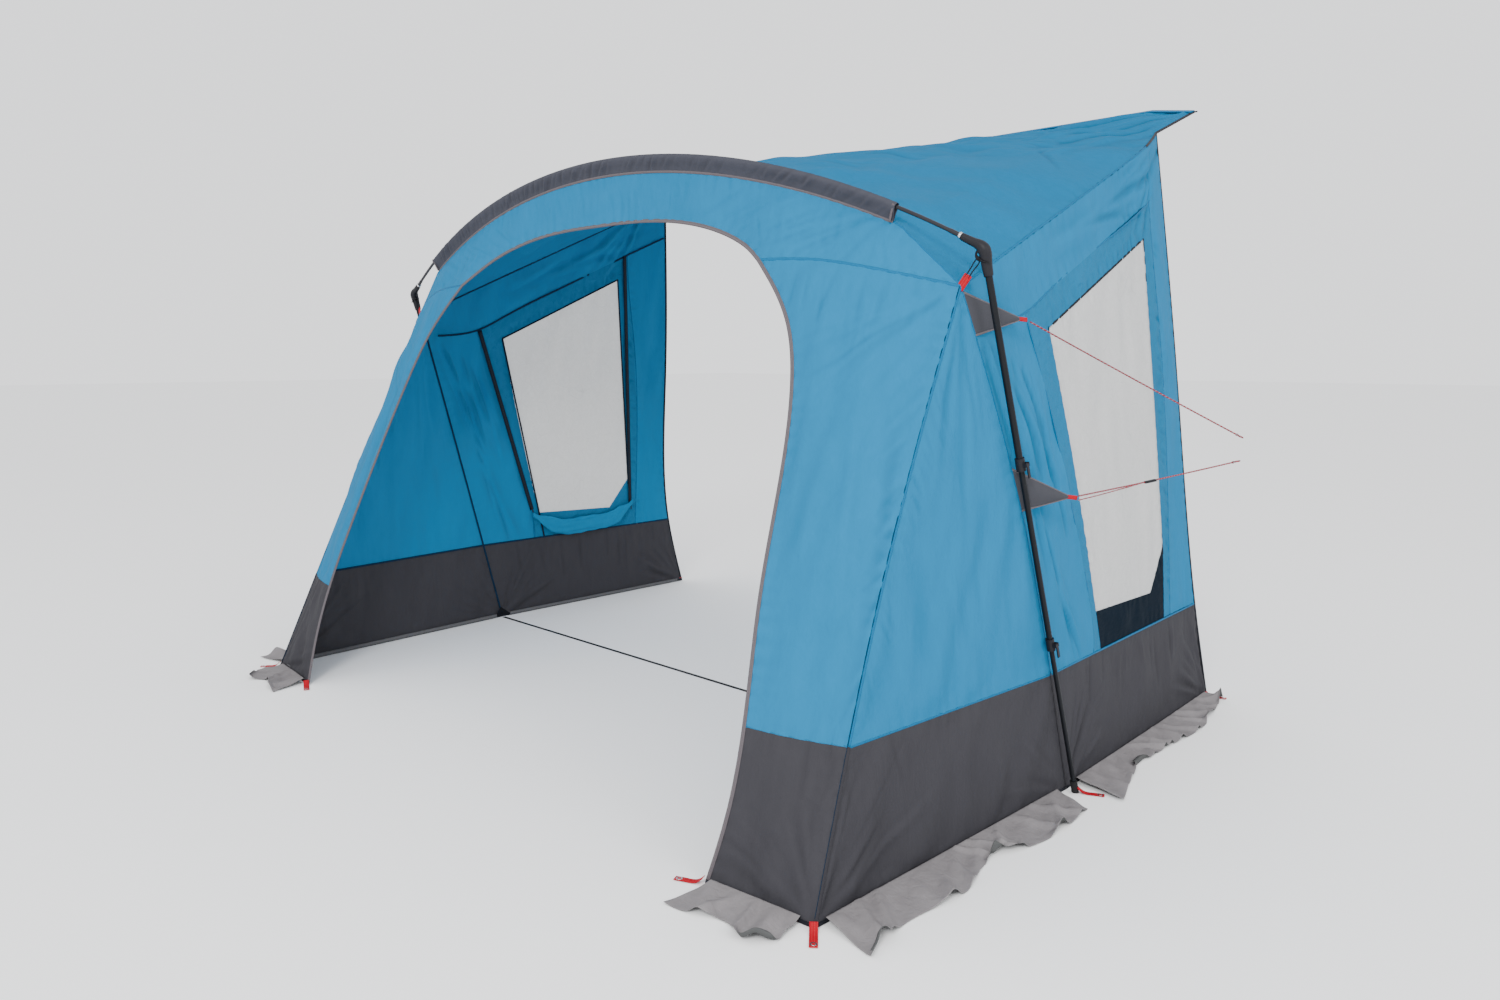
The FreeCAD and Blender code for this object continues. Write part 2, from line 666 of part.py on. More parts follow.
def skirt_strip(a, b, out_a, out_b):
    """Flat strip of ground skirt between two points of the wall's foot and two outer points."""
    outline = [Vector(p[0], p[1], 0) for p in (a, b, out_b, out_a, a)]
    return Part.Face(Part.makePolygon(outline)).extrude(Vector(0, 0, dim("SkirtThickness")))


def make_skirt(side_name, side):
    """Ground skirt of one side: in front, along the front part and along the rear part."""
    wide, deep = dim("SkirtWidth"), dim("HalfDepth")
    corner = (dim("FrontCornerX"), dim("FrontCornerY"))
    foot = (dim("SeamFootX"), dim("FootY"))
    rear = (dim("RearCornerX"), dim("RearCornerY"))
    strips = (
        ((dim("JambX") + 30, dim("JambY") - 4), (corner[0] - 40, corner[1] - 7),
         (dim("JambX") + 25, -deep), (corner[0] - 20, -deep)),
        ((corner[0] + 9, corner[1] + 45), (foot[0] + 4, foot[1] - 60),
         (corner[0] + wide, corner[1] + 30), (foot[0] + wide, foot[1] - 60)),
        ((foot[0] + 4, foot[1] + 60), (rear[0] + 5, deep),
         (foot[0] + wide, foot[1] + 60), (rear[0] + wide, deep)),
    )
    slots = []
    length, width = dim("LoopLength") + 6, dim("WebbingWidth") + 6
    for frame in peg_frames():
        slot = Part.makeBox(length, width, 20, Vector(-3, -width / 2, -10))
        slot.Placement = frame
        slots.append(slot)
    solids = []
    for quad in strips:
        solids.append(skirt_strip(*[(side * x, y) for x, y in quad]).cut(slots))
    feature(f"skirt_{side_name}", compound(solids))


def wall_point(side, y, z, inward):
    """Point on the inner face side of the rear side wall at a given y and z."""
    seam, rear = pole_seam(60), rear_edge(60)
    best = min(zip(seam, rear), key=lambda ab: abs(lerp_at(ab, y).z - z))
    p = lerp_at(best, y)
    return Vector(side * (p.x - inward), y, z)


def lerp_at(pair, y):
    """Point at a given y on the straight line through a pair of points."""
    a, b = pair
    return a + (b - a) * ((y - a.y) / (b.y - a.y))


def make_blind(side_name, side):
    """Window blind, let down and rolled along the foot of the window, inside."""
    low = dim("WindowBottomZ") + 44
    inward = dim("BlindRadius") + 8
    a = wall_point(side, dim("WindowFrontBottomY") - 60, low, inward)
    b = wall_point(side, dim("WindowRearBottomY") + 14, low, inward)
    roll = tube_along(f"BlindRoll_{side_name}", a, b - a, str((b - a).Length), "BlindRadius")
    node(roll, f"window_blind_{side_name}")


# ---------------------------------------------------------------- zips
ZIPS = {
    # name: (lower y, lower z, upper y, upper z) of the zip beside the window
    "front": (237.0, 609.0, -128.0, 1630.0),
    "rear": (957.0, 560.0, 852.0, 2085.0),
}


def zip_ends(side, which):
    low_y, low_z, high_y, high_z = ZIPS[which]
    return wall_point(side, low_y, low_z, 5), wall_point(side, high_y, high_z, 5)


def zip_rotation(side, which):
    """Axes of a zip: X along it, Z out of the wall towards the inside."""
    low, high = zip_ends(side, which)
    along = (high - low).normalize()
    inside = Vector(-side, 0, 0)
    inside = (inside - along * inside.dot(along)).normalize()
    return Rotation(along, inside.cross(along), inside, "ZXY")


def make_zips():
    """Zip tapes on both edges of both blinds, and their sliders with pulls."""
    tapes = []
    for side_name, side in SIDES.items():
        for which in ZIPS:
            low, high = zip_ends(side, which)
            turn = zip_rotation(side, which)
            tape = doc.addObject("Part::Box", f"Tape_{which}_{side_name}")
            bind(tape, Width="ZipWidth", Height="ZipThickness")
            tape.Length = (high - low).Length
            doc.recompute()
            tape.Placement = Placement(low - turn.multVec(Vector(0, dim("ZipWidth") / 2, 0)), turn)
            tapes.append(tape)
            make_slider(f"{which}_{side_name}", low, turn)
    group = doc.addObject("Part::Compound", "WindowZips")
    group.Links = tapes
    node(group, "window_zips")


def make_slider(tag, low, turn):
    """Zip slider with a pull tab that hangs from it."""
    body = bind(
        doc.addObject("Part::Box", f"SliderBody_{tag}"),
        Length="SliderLength", Width="SliderWidth", Height="SliderThickness",
    )
    bridge = doc.addObject("Part::Box", f"SliderBridge_{tag}")
    bind(bridge, Length="SliderLength * 0.6", Width="3", Height="3")
    pull = doc.addObject("Part::Box", f"SliderPull_{tag}")
    bind(pull, Length="34", Width="7", Height="1.6")
    doc.recompute()
    lift = dim("ZipThickness") + 0.3
    top = lift + dim("SliderThickness")
    corners = (
        (body, Vector(4, -dim("SliderWidth") / 2, lift)),
        (bridge, Vector(6, -1.5, top - 0.5)),
        (pull, Vector(-22, -3.5, top + 0.4)),
    )
    for box, corner in corners:
        box.Placement = Placement(low + turn.multVec(corner), turn)
    node(fuse(f"ZipSlider_{tag}", body, bridge, pull), f"zip_slider_{tag}")


# ---------------------------------------------------------------- webbing, tabs and peg points
PEG_POINTS = {
    # name: (x, y, outward x, outward y) of each webbing loop on the right side
    "jamb": (1306.0, -1294.0, -0.92, -0.39),
    "corner": (1706.0, -1262.0, 0.64, -0.77),
    "foot": (1808.0, 44.0, 1.0, 0.45),
    "rear": (1733.0, 1412.0, 1.0, 0.1),
}
EYELET_FROM_END = 14.0


def peg_frames():
    """Placement of every webbing loop: X outward along the ground."""
    frames = []
    for side in SIDES.values():
        for x, y, out_x, out_y in PEG_POINTS.values():
            outward = Vector(side * out_x, out_y, 0).normalize()
            turn = Rotation(outward, Vector(0, 0, 1).cross(outward), Vector(0, 0, 1), "ZXY")
            frames.append(Placement(Vector(side * x, y, 0), turn))
    return frames


def make_peg_points():
    """Red webbing loops on the ground with a pressed eyelet each."""
    half, thick = dim("WebbingWidth") / 2, dim("WebbingThickness")
    eye_x = dim("LoopLength") - EYELET_FROM_END
    outer = dim("EyeletBore") + dim("EyeletWall")
    skirt_top = dim("SkirtThickness") + 0.2
    loops, eyelets = [], []
    for frame in peg_frames():
        tape = Part.makeBox(dim("LoopLength"), 2 * half, thick, Vector(0, -half, skirt_top))
        tape = tape.cut(Part.makeCylinder(outer + 0.1, 10, Vector(eye_x, 0, -1)))
        eyelet = Part.makeCylinder(outer, thick + 2.6, Vector(eye_x, 0, skirt_top - 1.2))
        flange = Part.makeCylinder(dim("EyeletFlange"), 0.9, Vector(eye_x, 0, skirt_top + thick + 0.05))
        bore = Part.makeCylinder(dim("EyeletBore"), 20, Vector(eye_x, 0, -5))
        for store, shape in ((loops, tape), (eyelets, eyelet.fuse(flange).cut(bore))):
            shape.Placement = frame
            store.append(shape)
    feature("peg_loops", compound(loops))
    feature("peg_eyelets", compound(eyelets))


GUY_TABS = {
    # name: (seam height of upper and lower corner, tip) of the grey tabs on the right side
    "upper": (1690.0, 1560.0, Vector(1668, -225, 1612)),
    "lower": (1145.0, 1005.0, Vector(1792, -92, 1045)),
}


def seam_point(height):
    """Point of the pole seam at a height, a little outside the fabric."""
    best = min(pole_seam(200), key=lambda p: abs(p.z - height))
    return best + Vector(6, 6, 0)


def make_tabs():
    """Grey guy tabs, and the red webbing at their tips and at the shoulders."""
    greys, reds = [], []
    for high, low, tip in GUY_TABS.values():
        a, b = seam_point(high), seam_point(low)
        normal = (b - a).cross(tip - a).normalize() * dim("FabricThickness")
        face = Part.Face(Part.makePolygon([a, b, tip, a]))
        greys.append(face.extrude(normal))
        reach = (tip - (a + b) * 0.5).normalize()
        turn = Rotation(reach, normal.cross(reach), normal, "ZXY")
        loop = Part.makeBox(24, 12, 2.0, Vector(1.5, -6, -1))
        loop = loop.cut(Part.makeCylinder(3.2, 10, Vector(18, 0, -5)))
        loop.Placement = Placement(tip, turn)
        reds.append(loop)
    ring_end = elbow_point(1) + lug_direction(1) * (dim("LugLength") + 2 * ELASTIC_RADIUS)
    way = ring_end - shoulder()
    across = ARCH_NORMAL.cross(way).normalize()
    turn = Rotation(way, across, way.cross(across), "XYZ")
    tab = Part.makeBox(way.Length, 20, 2, Vector(8, -10, -1))
    tab = tab.cut(Part.makeCylinder(5, 10, Vector(way.Length, 0, -5)))
    tab.Placement = Placement(shoulder(), turn)
    reds.append(tab)
    mirror = [s.mirror(Vector(), Vector(1, 0, 0)) for s in greys]
    feature("guy_tabs", compound(greys + mirror))
    mirror = [s.mirror(Vector(), Vector(1, 0, 0)) for s in reds]
    feature("red_tabs", compound(reds + mirror))


ELASTIC_RADIUS = 16.0


def make_elastics():
    """Elastic loop between the lug of each elbow and the red tab at the shoulder."""
    rings = []
    for side_name, side in SIDES.items():
        way = lug_direction(side)
        centre = elbow_point(side) + way * (dim("LugLength") + ELASTIC_RADIUS)
        ring = doc.addObject("Part::Torus", f"Elastic_{side_name}")
        ring.Radius1 = ELASTIC_RADIUS
        ring.Radius2 = 2
        doc.recompute()
        ring.Placement = Placement(centre, Rotation(way, ARCH_NORMAL, way.cross(ARCH_NORMAL), "ZXY"))
        rings.append(ring)
    group = doc.addObject("Part::Compound", "ElbowElastics")
    group.Links = rings
    node(group, "elbow_elastics")


def make_ground_strap():
    """Black webbing across the ground from foot to foot, which keeps the arch's span."""
    strap = bind(doc.addObject("Part::Box", "GroundStrap"), Width="StrapWidth", Height="WebbingThickness")
    strap.Length = 2 * (dim("SeamFootX") - 18)
    doc.recompute()
    strap.Placement.Base = Vector(-strap.Length.Value / 2, dim("FootY") - dim("StrapWidth") / 2, 0)
    node(strap, "ground_strap")


def make_keder():
    """Bead along the roof's rear edge, which slides into a vehicle's awning rail."""
    reach = dim("RoofRearX") + 14
    start = Vector(-reach, dim("RoofRearY"), dim("RoofRearZ"))
    bead = tube_along("RoofKeder", start, Vector(1, 0, 0), str(2 * reach), "KederRadius")
    node(bead, "roof_keder")


# ---------------------------------------------------------------- guy lines
GUY_ROUTES = {
    # right side: from the red webbing at each tab's tip to the far end
    "upper": [(1686, -204, 1604), (1905, 96, 1422), (2128, 402, 1237)],
    "lower": [(1808, -72, 1048), (1968, 156, 1097), (2128, 384, 1147)],
}
TENSIONER_SHARE = 0.42


def guy_tube(points):
    """Tube along a nearly straight guy line, with one large arc at its middle point."""
    a, b, c = points
    run_in, run_out = b - a, c - b
    reach = 0.45 * min(run_in.Length, run_out.Length)
    radius = reach / math.tan(run_in.getAngle(run_out) / 2)
    back, ahead = b - run_in.normalize() * reach, b + run_out.normalize() * reach
    towards = ((back + ahead) * 0.5 - b).normalize()
    centre = b + towards * math.hypot(radius, reach)
    middle = centre + (b - centre).normalize() * radius
    pieces = Part.LineSegment(a, back), Part.Arc(back, middle, ahead), Part.LineSegment(ahead, c)
    path = Part.Wire([piece.toShape() for piece in pieces])
    section = Part.Wire([Part.Circle(a, b - a, dim("GuyRadius")).toShape()])
    tube = path.makePipeShell([section], True, False)
    wanted = path.Length * math.pi * dim("GuyRadius") ** 2
    if abs(tube.Volume / wanted - 1) > 0.01:
        raise RuntimeError(f"guy tube holds {tube.Volume:.0f} mm3, not {wanted:.0f}")
    print(f"guy line: {path.Length:.0f} mm long, bend radius {radius:.0f} mm")
    return tube


def make_guys():
    """Guy lines of both sides, and the tensioner on each lower one."""
    for side_name, side in SIDES.items():
        for level, route in GUY_ROUTES.items():
            points = [Vector(side * x, y, z) for x, y, z in route]
            points[1] = points[1] - Vector(0, 0, 4)
            feature(f"guy_line_{level}_{side_name}", guy_tube(points))
        start, _, end = [Vector(side * x, y, z) for x, y, z in GUY_ROUTES["lower"]]
        along = (end - start).normalize()
        up = (Vector(0, 0, 1) - along * along.z).normalize()
        turn = Rotation(along, up.cross(along), up, "ZXY")
        size = Vector(dim("TensionerLength"), dim("TensionerWidth"), dim("TensionerThickness"))
        block = Part.makeBox(size.x, size.y, size.z, Vector(0, -size.y / 2, -size.z / 2))
        block = block.makeFillet(2.5, block.Edges)
        block = block.cut(Part.makeCylinder(dim("GuyRadius") + 2.6, 200, Vector(-50, 0, 0), Vector(1, 0, 0)))
        block.Placement = Placement(start + (end - start) * TENSIONER_SHARE - Vector(0, 0, 3), turn)
        feature(f"guy_tensioner_{side_name}", block)


# ---------------------------------------------------------------- build, check, write
def build():
    make_arch_pole()
    make_sleeve()
    make_roof()
    make_brow()
    make_door_binding()
    make_zips()
    make_peg_points()
    make_tabs()
    make_elastics()
    make_ground_strap()
    make_keder()
    make_guys()
    for side_name, side in SIDES.items():
        make_elbow(side_name, side)
        make_leg(side_name, side)
        for level in ("upper", "lower"):
            make_clamp(level, side_name, side)
        make_foot(side_name, side)
        make_walls(side_name, side)
        make_skirt(side_name, side)
        make_blind(side_name, side)
    doc.recompute()


def write():
    """Checks every object and writes each sub-part to its own STEP file."""
    broken = [o.Label for o in doc.Objects if "Invalid" in o.State or "Error" in o.State]
    for made in nodes:
        if made.Shape.isNull() or not made.Shape.isValid() or not made.Shape.Solids:
            broken.append(made.Label)
    if broken:
        raise RuntimeError(f"failed objects: {broken}")
    os.makedirs("parts", exist_ok=True)
    for made in nodes:
        made.Shape.exportStep(f"parts/{made.Label}.step")
    print(f"{len(nodes)} sub-parts written")


build()
write()
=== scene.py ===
"""Looks of the tunnel tent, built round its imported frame.

Metres, in the frame of the CAD part: +Z up, +Y from the doorway to the vehicle, +X to the right.
The sheets span the same edges as the CAD panels. Each right-hand piece has a mirrored left-hand one
with its own wrinkles.
"""
import math

import bmesh
import bpy
import numpy as np
from mathutils import Matrix, Vector
from mathutils.kdtree import KDTree


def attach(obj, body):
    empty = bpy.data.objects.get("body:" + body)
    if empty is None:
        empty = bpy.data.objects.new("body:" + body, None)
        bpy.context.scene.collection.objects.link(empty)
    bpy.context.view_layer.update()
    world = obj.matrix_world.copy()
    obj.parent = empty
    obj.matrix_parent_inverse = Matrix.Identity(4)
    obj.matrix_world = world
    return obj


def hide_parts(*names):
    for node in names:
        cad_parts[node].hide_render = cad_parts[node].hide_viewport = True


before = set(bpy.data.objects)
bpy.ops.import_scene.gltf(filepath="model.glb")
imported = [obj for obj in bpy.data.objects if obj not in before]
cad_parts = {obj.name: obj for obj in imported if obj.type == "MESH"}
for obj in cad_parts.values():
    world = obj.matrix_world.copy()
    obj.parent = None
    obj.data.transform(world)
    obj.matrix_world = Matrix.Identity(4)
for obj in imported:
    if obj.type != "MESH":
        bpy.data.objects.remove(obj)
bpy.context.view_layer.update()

SIDES = {"right": 1.0, "left": -1.0}

# ---------------------------------------------------------------- sizes, as in the CAD part
SHOULDER = np.array([1.605, -0.480, 1.705])
FRONT_CORNER = np.array([1.700, -1.250, 0.0])
JAMB_FOOT = np.array([1.320, -1.280, 0.0])
SEAM_FOOT = np.array([1.755, 0.040, 0.0])
REAR_CORNER = np.array([1.725, 1.420, 0.0])
ROOF_TIP = np.array([1.560, 1.330, 2.505])
DOOR_SHOULDER = np.array([0.922, -0.643, 1.814])
DOOR_TOP = 2.007
FLAT_TOP = SHOULDER + (ROOF_TIP - SHOULDER) * 0.8
WALL_TOP = np.array([1.499, 1.106, 2.396])
BEND = 0.86  # share of the rear side wall that is flat
MUDWALL = 0.437
CLOTH = 0.0012
CORD_RADIUS = 0.0025  # as drawn, so that it shows
RETURN_LENGTH = 0.235  # of a lower guy line's second strand
TOOTH_PITCH = 0.006
GRID = 0.008  # spacing of the cloth grids
ARCH_RADIUS = 3.400
ARCH_APEX = 2.326
ARCH_LEAN = math.radians(15.75)
ARCH_FOOT_Y = 0.040
ARCH_HALF_SPAN = 1.606
SLEEVE_HALF_SPAN = 1.385
SLEEVE_DROP = 0.050
FOOT = np.array([1.790, 0.040, 0.0])
ELBOW = np.array([1.67475, -0.471923, 1.815141])


# ---------------------------------------------------------------- lines in space
def lengths(points):
    """Length along a line at each of its points."""
    return np.concatenate([[0.0], np.cumsum(np.linalg.norm(np.diff(points, axis=0), axis=1))])


def even(points, count):
    """The same line with evenly spaced points."""
    points = np.asarray(points, float)
    run = lengths(points)
    at = np.linspace(0.0, run[-1], count)
    return np.stack([np.interp(at, run, points[:, k]) for k in range(3)], axis=1)


def spline(points, count):
    """Evenly spaced points on a natural cubic spline through the given points."""
    p = np.array(points, float)
    t = lengths(p)
    h, n = np.diff(t), len(p)
    rows, right = np.eye(n), np.zeros_like(p)
    for i in range(1, n - 1):
        rows[i, i - 1 : i + 2] = h[i - 1], 2 * (h[i - 1] + h[i]), h[i]
        right[i] = 6 * ((p[i + 1] - p[i]) / h[i] - (p[i] - p[i - 1]) / h[i - 1])
    bend = np.linalg.solve(rows, right)
    fine = np.linspace(0.0, t[-1], 500)
    k = np.clip(np.searchsorted(t, fine, side="right") - 1, 0, n - 2)
    ahead, behind, step = (t[k + 1] - fine)[:, None], (fine - t[k])[:, None], h[k][:, None]
    curve = (bend[k] * ahead**3 + bend[k + 1] * behind**3) / (6 * step)
    curve += (p[k] / step - bend[k] * step / 6) * ahead
    curve += (p[k + 1] / step - bend[k + 1] * step / 6) * behind
    return even(curve, count)


def unit(vector):
    return vector / np.linalg.norm(vector)


def units(vectors):
    """The same vectors, which lie along the last axis, each with a length of 1."""
    return vectors / np.linalg.norm(vectors, axis=-1, keepdims=True)


def straight(a, b, count):
    return np.linspace(np.asarray(a, float), np.asarray(b, float), count)


def flip(points, side):
    """Mirrors points to the left side when side is -1."""
    return np.asarray(points, float) * np.array([side, 1.0, 1.0])


def front_ridge(count):
    low, high = FRONT_CORNER, SHOULDER
    return spline([low, (low + high) / 2 + [-0.022, -0.016, 0.0], high], count)


def pole_seam(count):
    hip = SEAM_FOOT * 0.38 + SHOULDER * 0.62 + [0.035, 0.022, 0.0]
    return spline([SEAM_FOOT, hip, SHOULDER], count)


def rear_edge(count):
    return spline([REAR_CORNER, (1.697, 1.273, 0.480), (1.605, 1.190, 1.410), WALL_TOP], count)


def wall_surface(rows, columns):
    """Right rear side wall: flat from the pole seam back, then bent inward to its rear edge."""
    seam, rear, run = pole_seam(rows), rear_edge(rows), FLAT_TOP - REAR_CORNER
    flat = spline(
        [REAR_CORNER, REAR_CORNER + run * 0.2 + [0, -0.040, 0], REAR_CORNER + run * 0.6, FLAT_TOP], rows
    )
    start, turn = seam + (flat - seam) * BEND, seam + (flat - seam) * (BEND + (1 - BEND) * 0.6)
    grid = np.zeros((rows, columns, 3))
    for j, share in enumerate(np.linspace(0, 1, columns)):
        t = (share - BEND) / (1 - BEND)
        bent = start * (1 - t) ** 2 + turn * 2 * t * (1 - t) + rear * t * t
        grid[:, j] = bent if t > 0 else seam + (flat - seam) * share
    return grid


def roof_side(count):
    """The roof's right side edge: along the top of the wall, then out to the tip."""
    return even([*wall_surface(2, 40)[-1], ROOF_TIP], count)


def door_jamb(count):
    middle = [(1.347, -1.220, 0.2), (1.284, -1.017, 0.8), (1.192, -0.778, 1.4), (1.112, -0.708, 1.6)]
    return spline([JAMB_FOOT, *middle, DOOR_SHOULDER], count)


def door_head(count):
    half = [
        DOOR_SHOULDER, (0.85, -0.618, 1.860), (0.74, -0.600, 1.911), (0.59, -0.587, 1.957),
        (0.3, -0.577, 2.000)
    ]
    left = [flip(p, -1) for p in reversed(half)]
    return spline([*half, (0.0, -0.575, DOOR_TOP), *left], count)


def front_seam(count):
    return spline([DOOR_SHOULDER, (1.15, -0.62, 1.802), (1.355, -0.575, 1.765), SHOULDER], count)


def arch_point(angle, radius):
    """Point of the leaning arch plane at an angle from the top and a distance from the arch's centre."""
    up = ARCH_APEX - ARCH_RADIUS + math.cos(angle) * radius
    return np.array(
        [math.sin(angle) * radius, ARCH_FOOT_Y - math.sin(ARCH_LEAN) * up, math.cos(ARCH_LEAN) * up]
    )


def arch_line(half_span, drop, count):
    """Points on the arch from right to left, dropped below the pole by a distance."""
    radius = ARCH_RADIUS - drop
    end = math.asin(half_span / radius)
    return np.array([arch_point(a, radius) for a in np.linspace(end, -end, count)])


def roof_front(count):
    """The roof's front edge from the right shoulder over the arch to the left shoulder."""
    arc = arch_line(SLEEVE_HALF_SPAN, SLEEVE_DROP, 60)
    hip = straight(SHOULDER, arc[0], 12)[:-1]
    return even(np.concatenate([hip, arc, flip(hip[::-1], -1)]), count)


def rear_line(count):
    """The roof's rear edge, from right to left; its middle stands a little higher than its drooping ends."""
    share = np.linspace(1, -1, count)
    line = ROOF_TIP * np.ones((count, 1))
    line[:, 0] *= share
    line[:, 2] += 0.028 * (1 - np.clip((np.abs(share) - 0.885) / 0.115, 0, 1))
    return line


# ---------------------------------------------------------------- relief of the cloth
def crease(points, start, end, rise, width):
    """A soft ridge, or furrow if rise is below 0, along a straight line in the sheet's own plane."""
    start, end = np.asarray(start, float), np.asarray(end, float)
    line = end - start
    along = (points - start) @ line / (line @ line)
    off = points - start - np.clip(along, 0, 1)[:, None] * line
    away = np.linalg.norm(off, axis=1) / width
    ends = np.sqrt(np.clip(1 - np.abs(2 * along - 1), 0, 1))
    return rise * ends * (np.exp(-away**2) - 0.45 * np.exp(-((away / 2.2) ** 2)))


def fan(rng, corner, first, last, count, reach, rise, width):
    """Creases that spread from a corner, between two directions in degrees."""
    made = []
    for k in range(count):
        turn = math.radians(first + (last - first) * (k + rng.uniform(0.2, 0.8)) / count)
        way = np.array([math.cos(turn), math.sin(turn)])
        near = np.asarray(corner) + way * rng.uniform(0.01, 0.06)
        far = near + way * reach * rng.uniform(0.6, 1.15)
        made.append(
            (
                near, far, rise * rng.uniform(0.5, 1.2) * rng.choice([1, 1, -1]),
                width * rng.uniform(0.7, 1.3)
            )
        )
    return made


def folds(rng, start, end, way, count, reach, rise, width):
    """Roughly parallel creases that start along a line and run in one direction."""
    made = []
    way = unit(np.asarray(way, float))
    for k in range(count):
        near = np.asarray(start) + (np.asarray(end) - start) * (k + rng.uniform(0.1, 0.9)) / count
        tilt = rng.normal(0, 0.09)
        aim = np.array([way[0] - tilt * way[1], way[1] + tilt * way[0]])
        far = near + aim * reach * rng.uniform(0.5, 1.2)
        made.append(
            (near, far, rise * rng.uniform(0.4, 1.2) * rng.choice([1, -1]), width * rng.uniform(0.7, 1.4))
        )
    return made


def ripple(points, rng, count, wave, rise, stretch=(1.0, 1.0)):
    """Uneven low waves: sines in random directions, each bent by a slower one."""
    total = np.zeros(len(points))
    flat = points * np.asarray(stretch)
    for _ in range(count):
        turn, slow = rng.uniform(0, 2 * math.pi, 2)
        k = 2 * math.pi / (wave * rng.uniform(0.7, 1.5))
        way, other = np.array([math.cos(turn), math.sin(turn)]), np.array([math.cos(slow), math.sin(slow)])
        warp = 1.4 * np.sin(flat @ other * k * 0.45 + rng.uniform(0, 6.3))
        total += np.sin(flat @ way * k + warp + rng.uniform(0, 6.3))
    return total * rise / math.sqrt(count)


class Pinned:
    """Seam lines where the cloth keeps its plain shape, with puckers along them."""

    def __init__(self, lines, rng):
        spots, runs = [], []
        for line in lines:
            length = np.linalg.norm(np.diff(line, axis=0), axis=1).sum()
            dense = even(line, max(8, int(length / 0.01)))
            spots.append(dense)
            runs.append(np.linspace(0, length, len(dense)) + rng.uniform(0, 9))
        self.spots, self.runs = np.concatenate(spots), np.concatenate(runs)
        self.tree = KDTree(len(self.spots))
        for i, spot in enumerate(self.spots):
            self.tree.insert(spot, i)
        self.tree.balance()

    def near(self, points):
        """Each point's distance to the nearest seam and the length along it."""
        found = [self.tree.find(p) for p in points]
        return np.array([f[2] for f in found]), self.runs[[f[1] for f in found]]


def shaped(
    points, normals, flat, pinned, creases, rng, billow=0.004, pucker=0.0018, wave=0.32, stretch=(1, 1)
):
    """Points moved along their normals by waves, creases and puckers, and how deep each lies in a furrow, the
    share of painted crease shade.
    """
    away, run = pinned.near(points)
    broad, close = np.clip(away / 0.06, 0, 1), np.clip(away / 0.016, 0, 1)
    height = np.zeros(len(points))
    for start, end, rise, width in creases:
        height += crease(flat, start, end, rise, width)
    height *= close * close * (3 - 2 * close)
    stitch = np.sin(run * 2 * math.pi / 0.052 + 1.3 * np.sin(run * 23)) * (0.6 + 0.4 * np.sin(run * 9.1))
    height += pucker * stitch * np.clip(away / 0.010, 0, 1) * np.exp(-away / 0.040)
    # How deep a point lies in a furrow; the cloth's colour darkens by it as painted shade.
    furrow = np.clip(-height / 0.0050, 0, 1)
    height += ripple(flat, rng, 5, wave, billow, stretch) * broad * broad * (3 - 2 * broad)
    return points + normals * height[:, None], furrow


# ---------------------------------------------------------------- meshes
def grid_normals(grid, outward):
    """Unit normals of a grid of points, on the side that faces outward."""
    du, dv = np.gradient(grid, axis=0), np.gradient(grid, axis=1)
    normal = np.cross(du, dv)
    length = np.linalg.norm(normal, axis=2, keepdims=True)
    normal = normal / np.maximum(length, 1e-9)
    normal[length[..., 0] < 1e-9] = np.asarray(outward) / np.linalg.norm(outward)
    if (normal.reshape(-1, 3) @ np.asarray(outward)).sum() < 0:
        normal = -normal
    return normal


def coons(left, right, low, high):
    """Grid that fills four edges; left and right run upward, low and high from left to right."""
    up, across = np.linspace(0, 1, len(left))[:, None, None], np.linspace(0, 1, len(low))[None, :, None]
    sides = left[:, None] * (1 - across) + right[:, None] * across
    ends = low[None] * (1 - up) + high[None] * up
    bottom, top = low[0] * (1 - across) + low[-1] * across, high[0] * (1 - across) + high[-1] * across
    return sides + ends - bottom * (1 - up) - top * up


def grid_bmesh(points, rows, columns, outward, furrow=None):
    """Mesh of quads through a grid of points, facing outward; furrow, the share of painted crease shade, is
    kept as an attribute.
    """
    bm = bmesh.new()
    layer = bm.verts.layers.float.new("furrow")
    verts = [bm.verts.new(p) for p in points]
    if furrow is not None:
        for vert, depth in zip(verts, furrow):
            vert[layer] = depth
    for i in range(rows - 1):
        for j in range(columns - 1):
            a = i * columns + j
            bm.faces.new([verts[k] for k in (a, a + 1, a + columns + 1, a + columns)])
    bmesh.ops.remove_doubles(bm, verts=bm.verts, dist=1e-5)
    bm.normal_update()
    facing = sum(f.normal.dot(Vector(outward)) * f.calc_area() for f in bm.faces)
    if facing < 0:
        bmesh.ops.reverse_faces(bm, faces=bm.faces)
    return bm


def ruled(first, second, columns):
    """Grid that spans straight from each point of one line to its partner on the other."""
    share = np.linspace(0, 1, columns)[None, :, None]
    return first[:, None, :] * (1 - share) + second[:, None, :] * share


def cloth_grid(grid, outward, axes, pinned_lines, creases, rng, **how):
    """Mid-surface of a sheet of cloth with its waves, creases and puckers."""
    rows, columns = grid.shape[:2]
    normals = grid_normals(grid, outward).reshape(-1, 3)
    points = grid.reshape(-1, 3)
    moved, furrow = shaped(points, normals, points[:, axes], Pinned(pinned_lines, rng), creases, rng, **how)
    return grid_bmesh(moved, rows, columns, outward, furrow)


def cut_plane(bm, spot, normal):
    """Cuts a mesh along a plane."""
    geometry = bm.verts[:] + bm.edges[:] + bm.faces[:]
    bmesh.ops.bisect_plane(bm, geom=geometry, dist=1e-5, plane_co=spot, plane_no=normal)


def kept(bm, test):
    """Copy of a mesh with only the faces whose middle passes the test."""
    made = bm.copy()
    made.faces.ensure_lookup_table()
    gone = [f for f in made.faces if not test(f.calc_center_median())]
    bmesh.ops.delete(made, geom=gone, context="FACES")
    return made


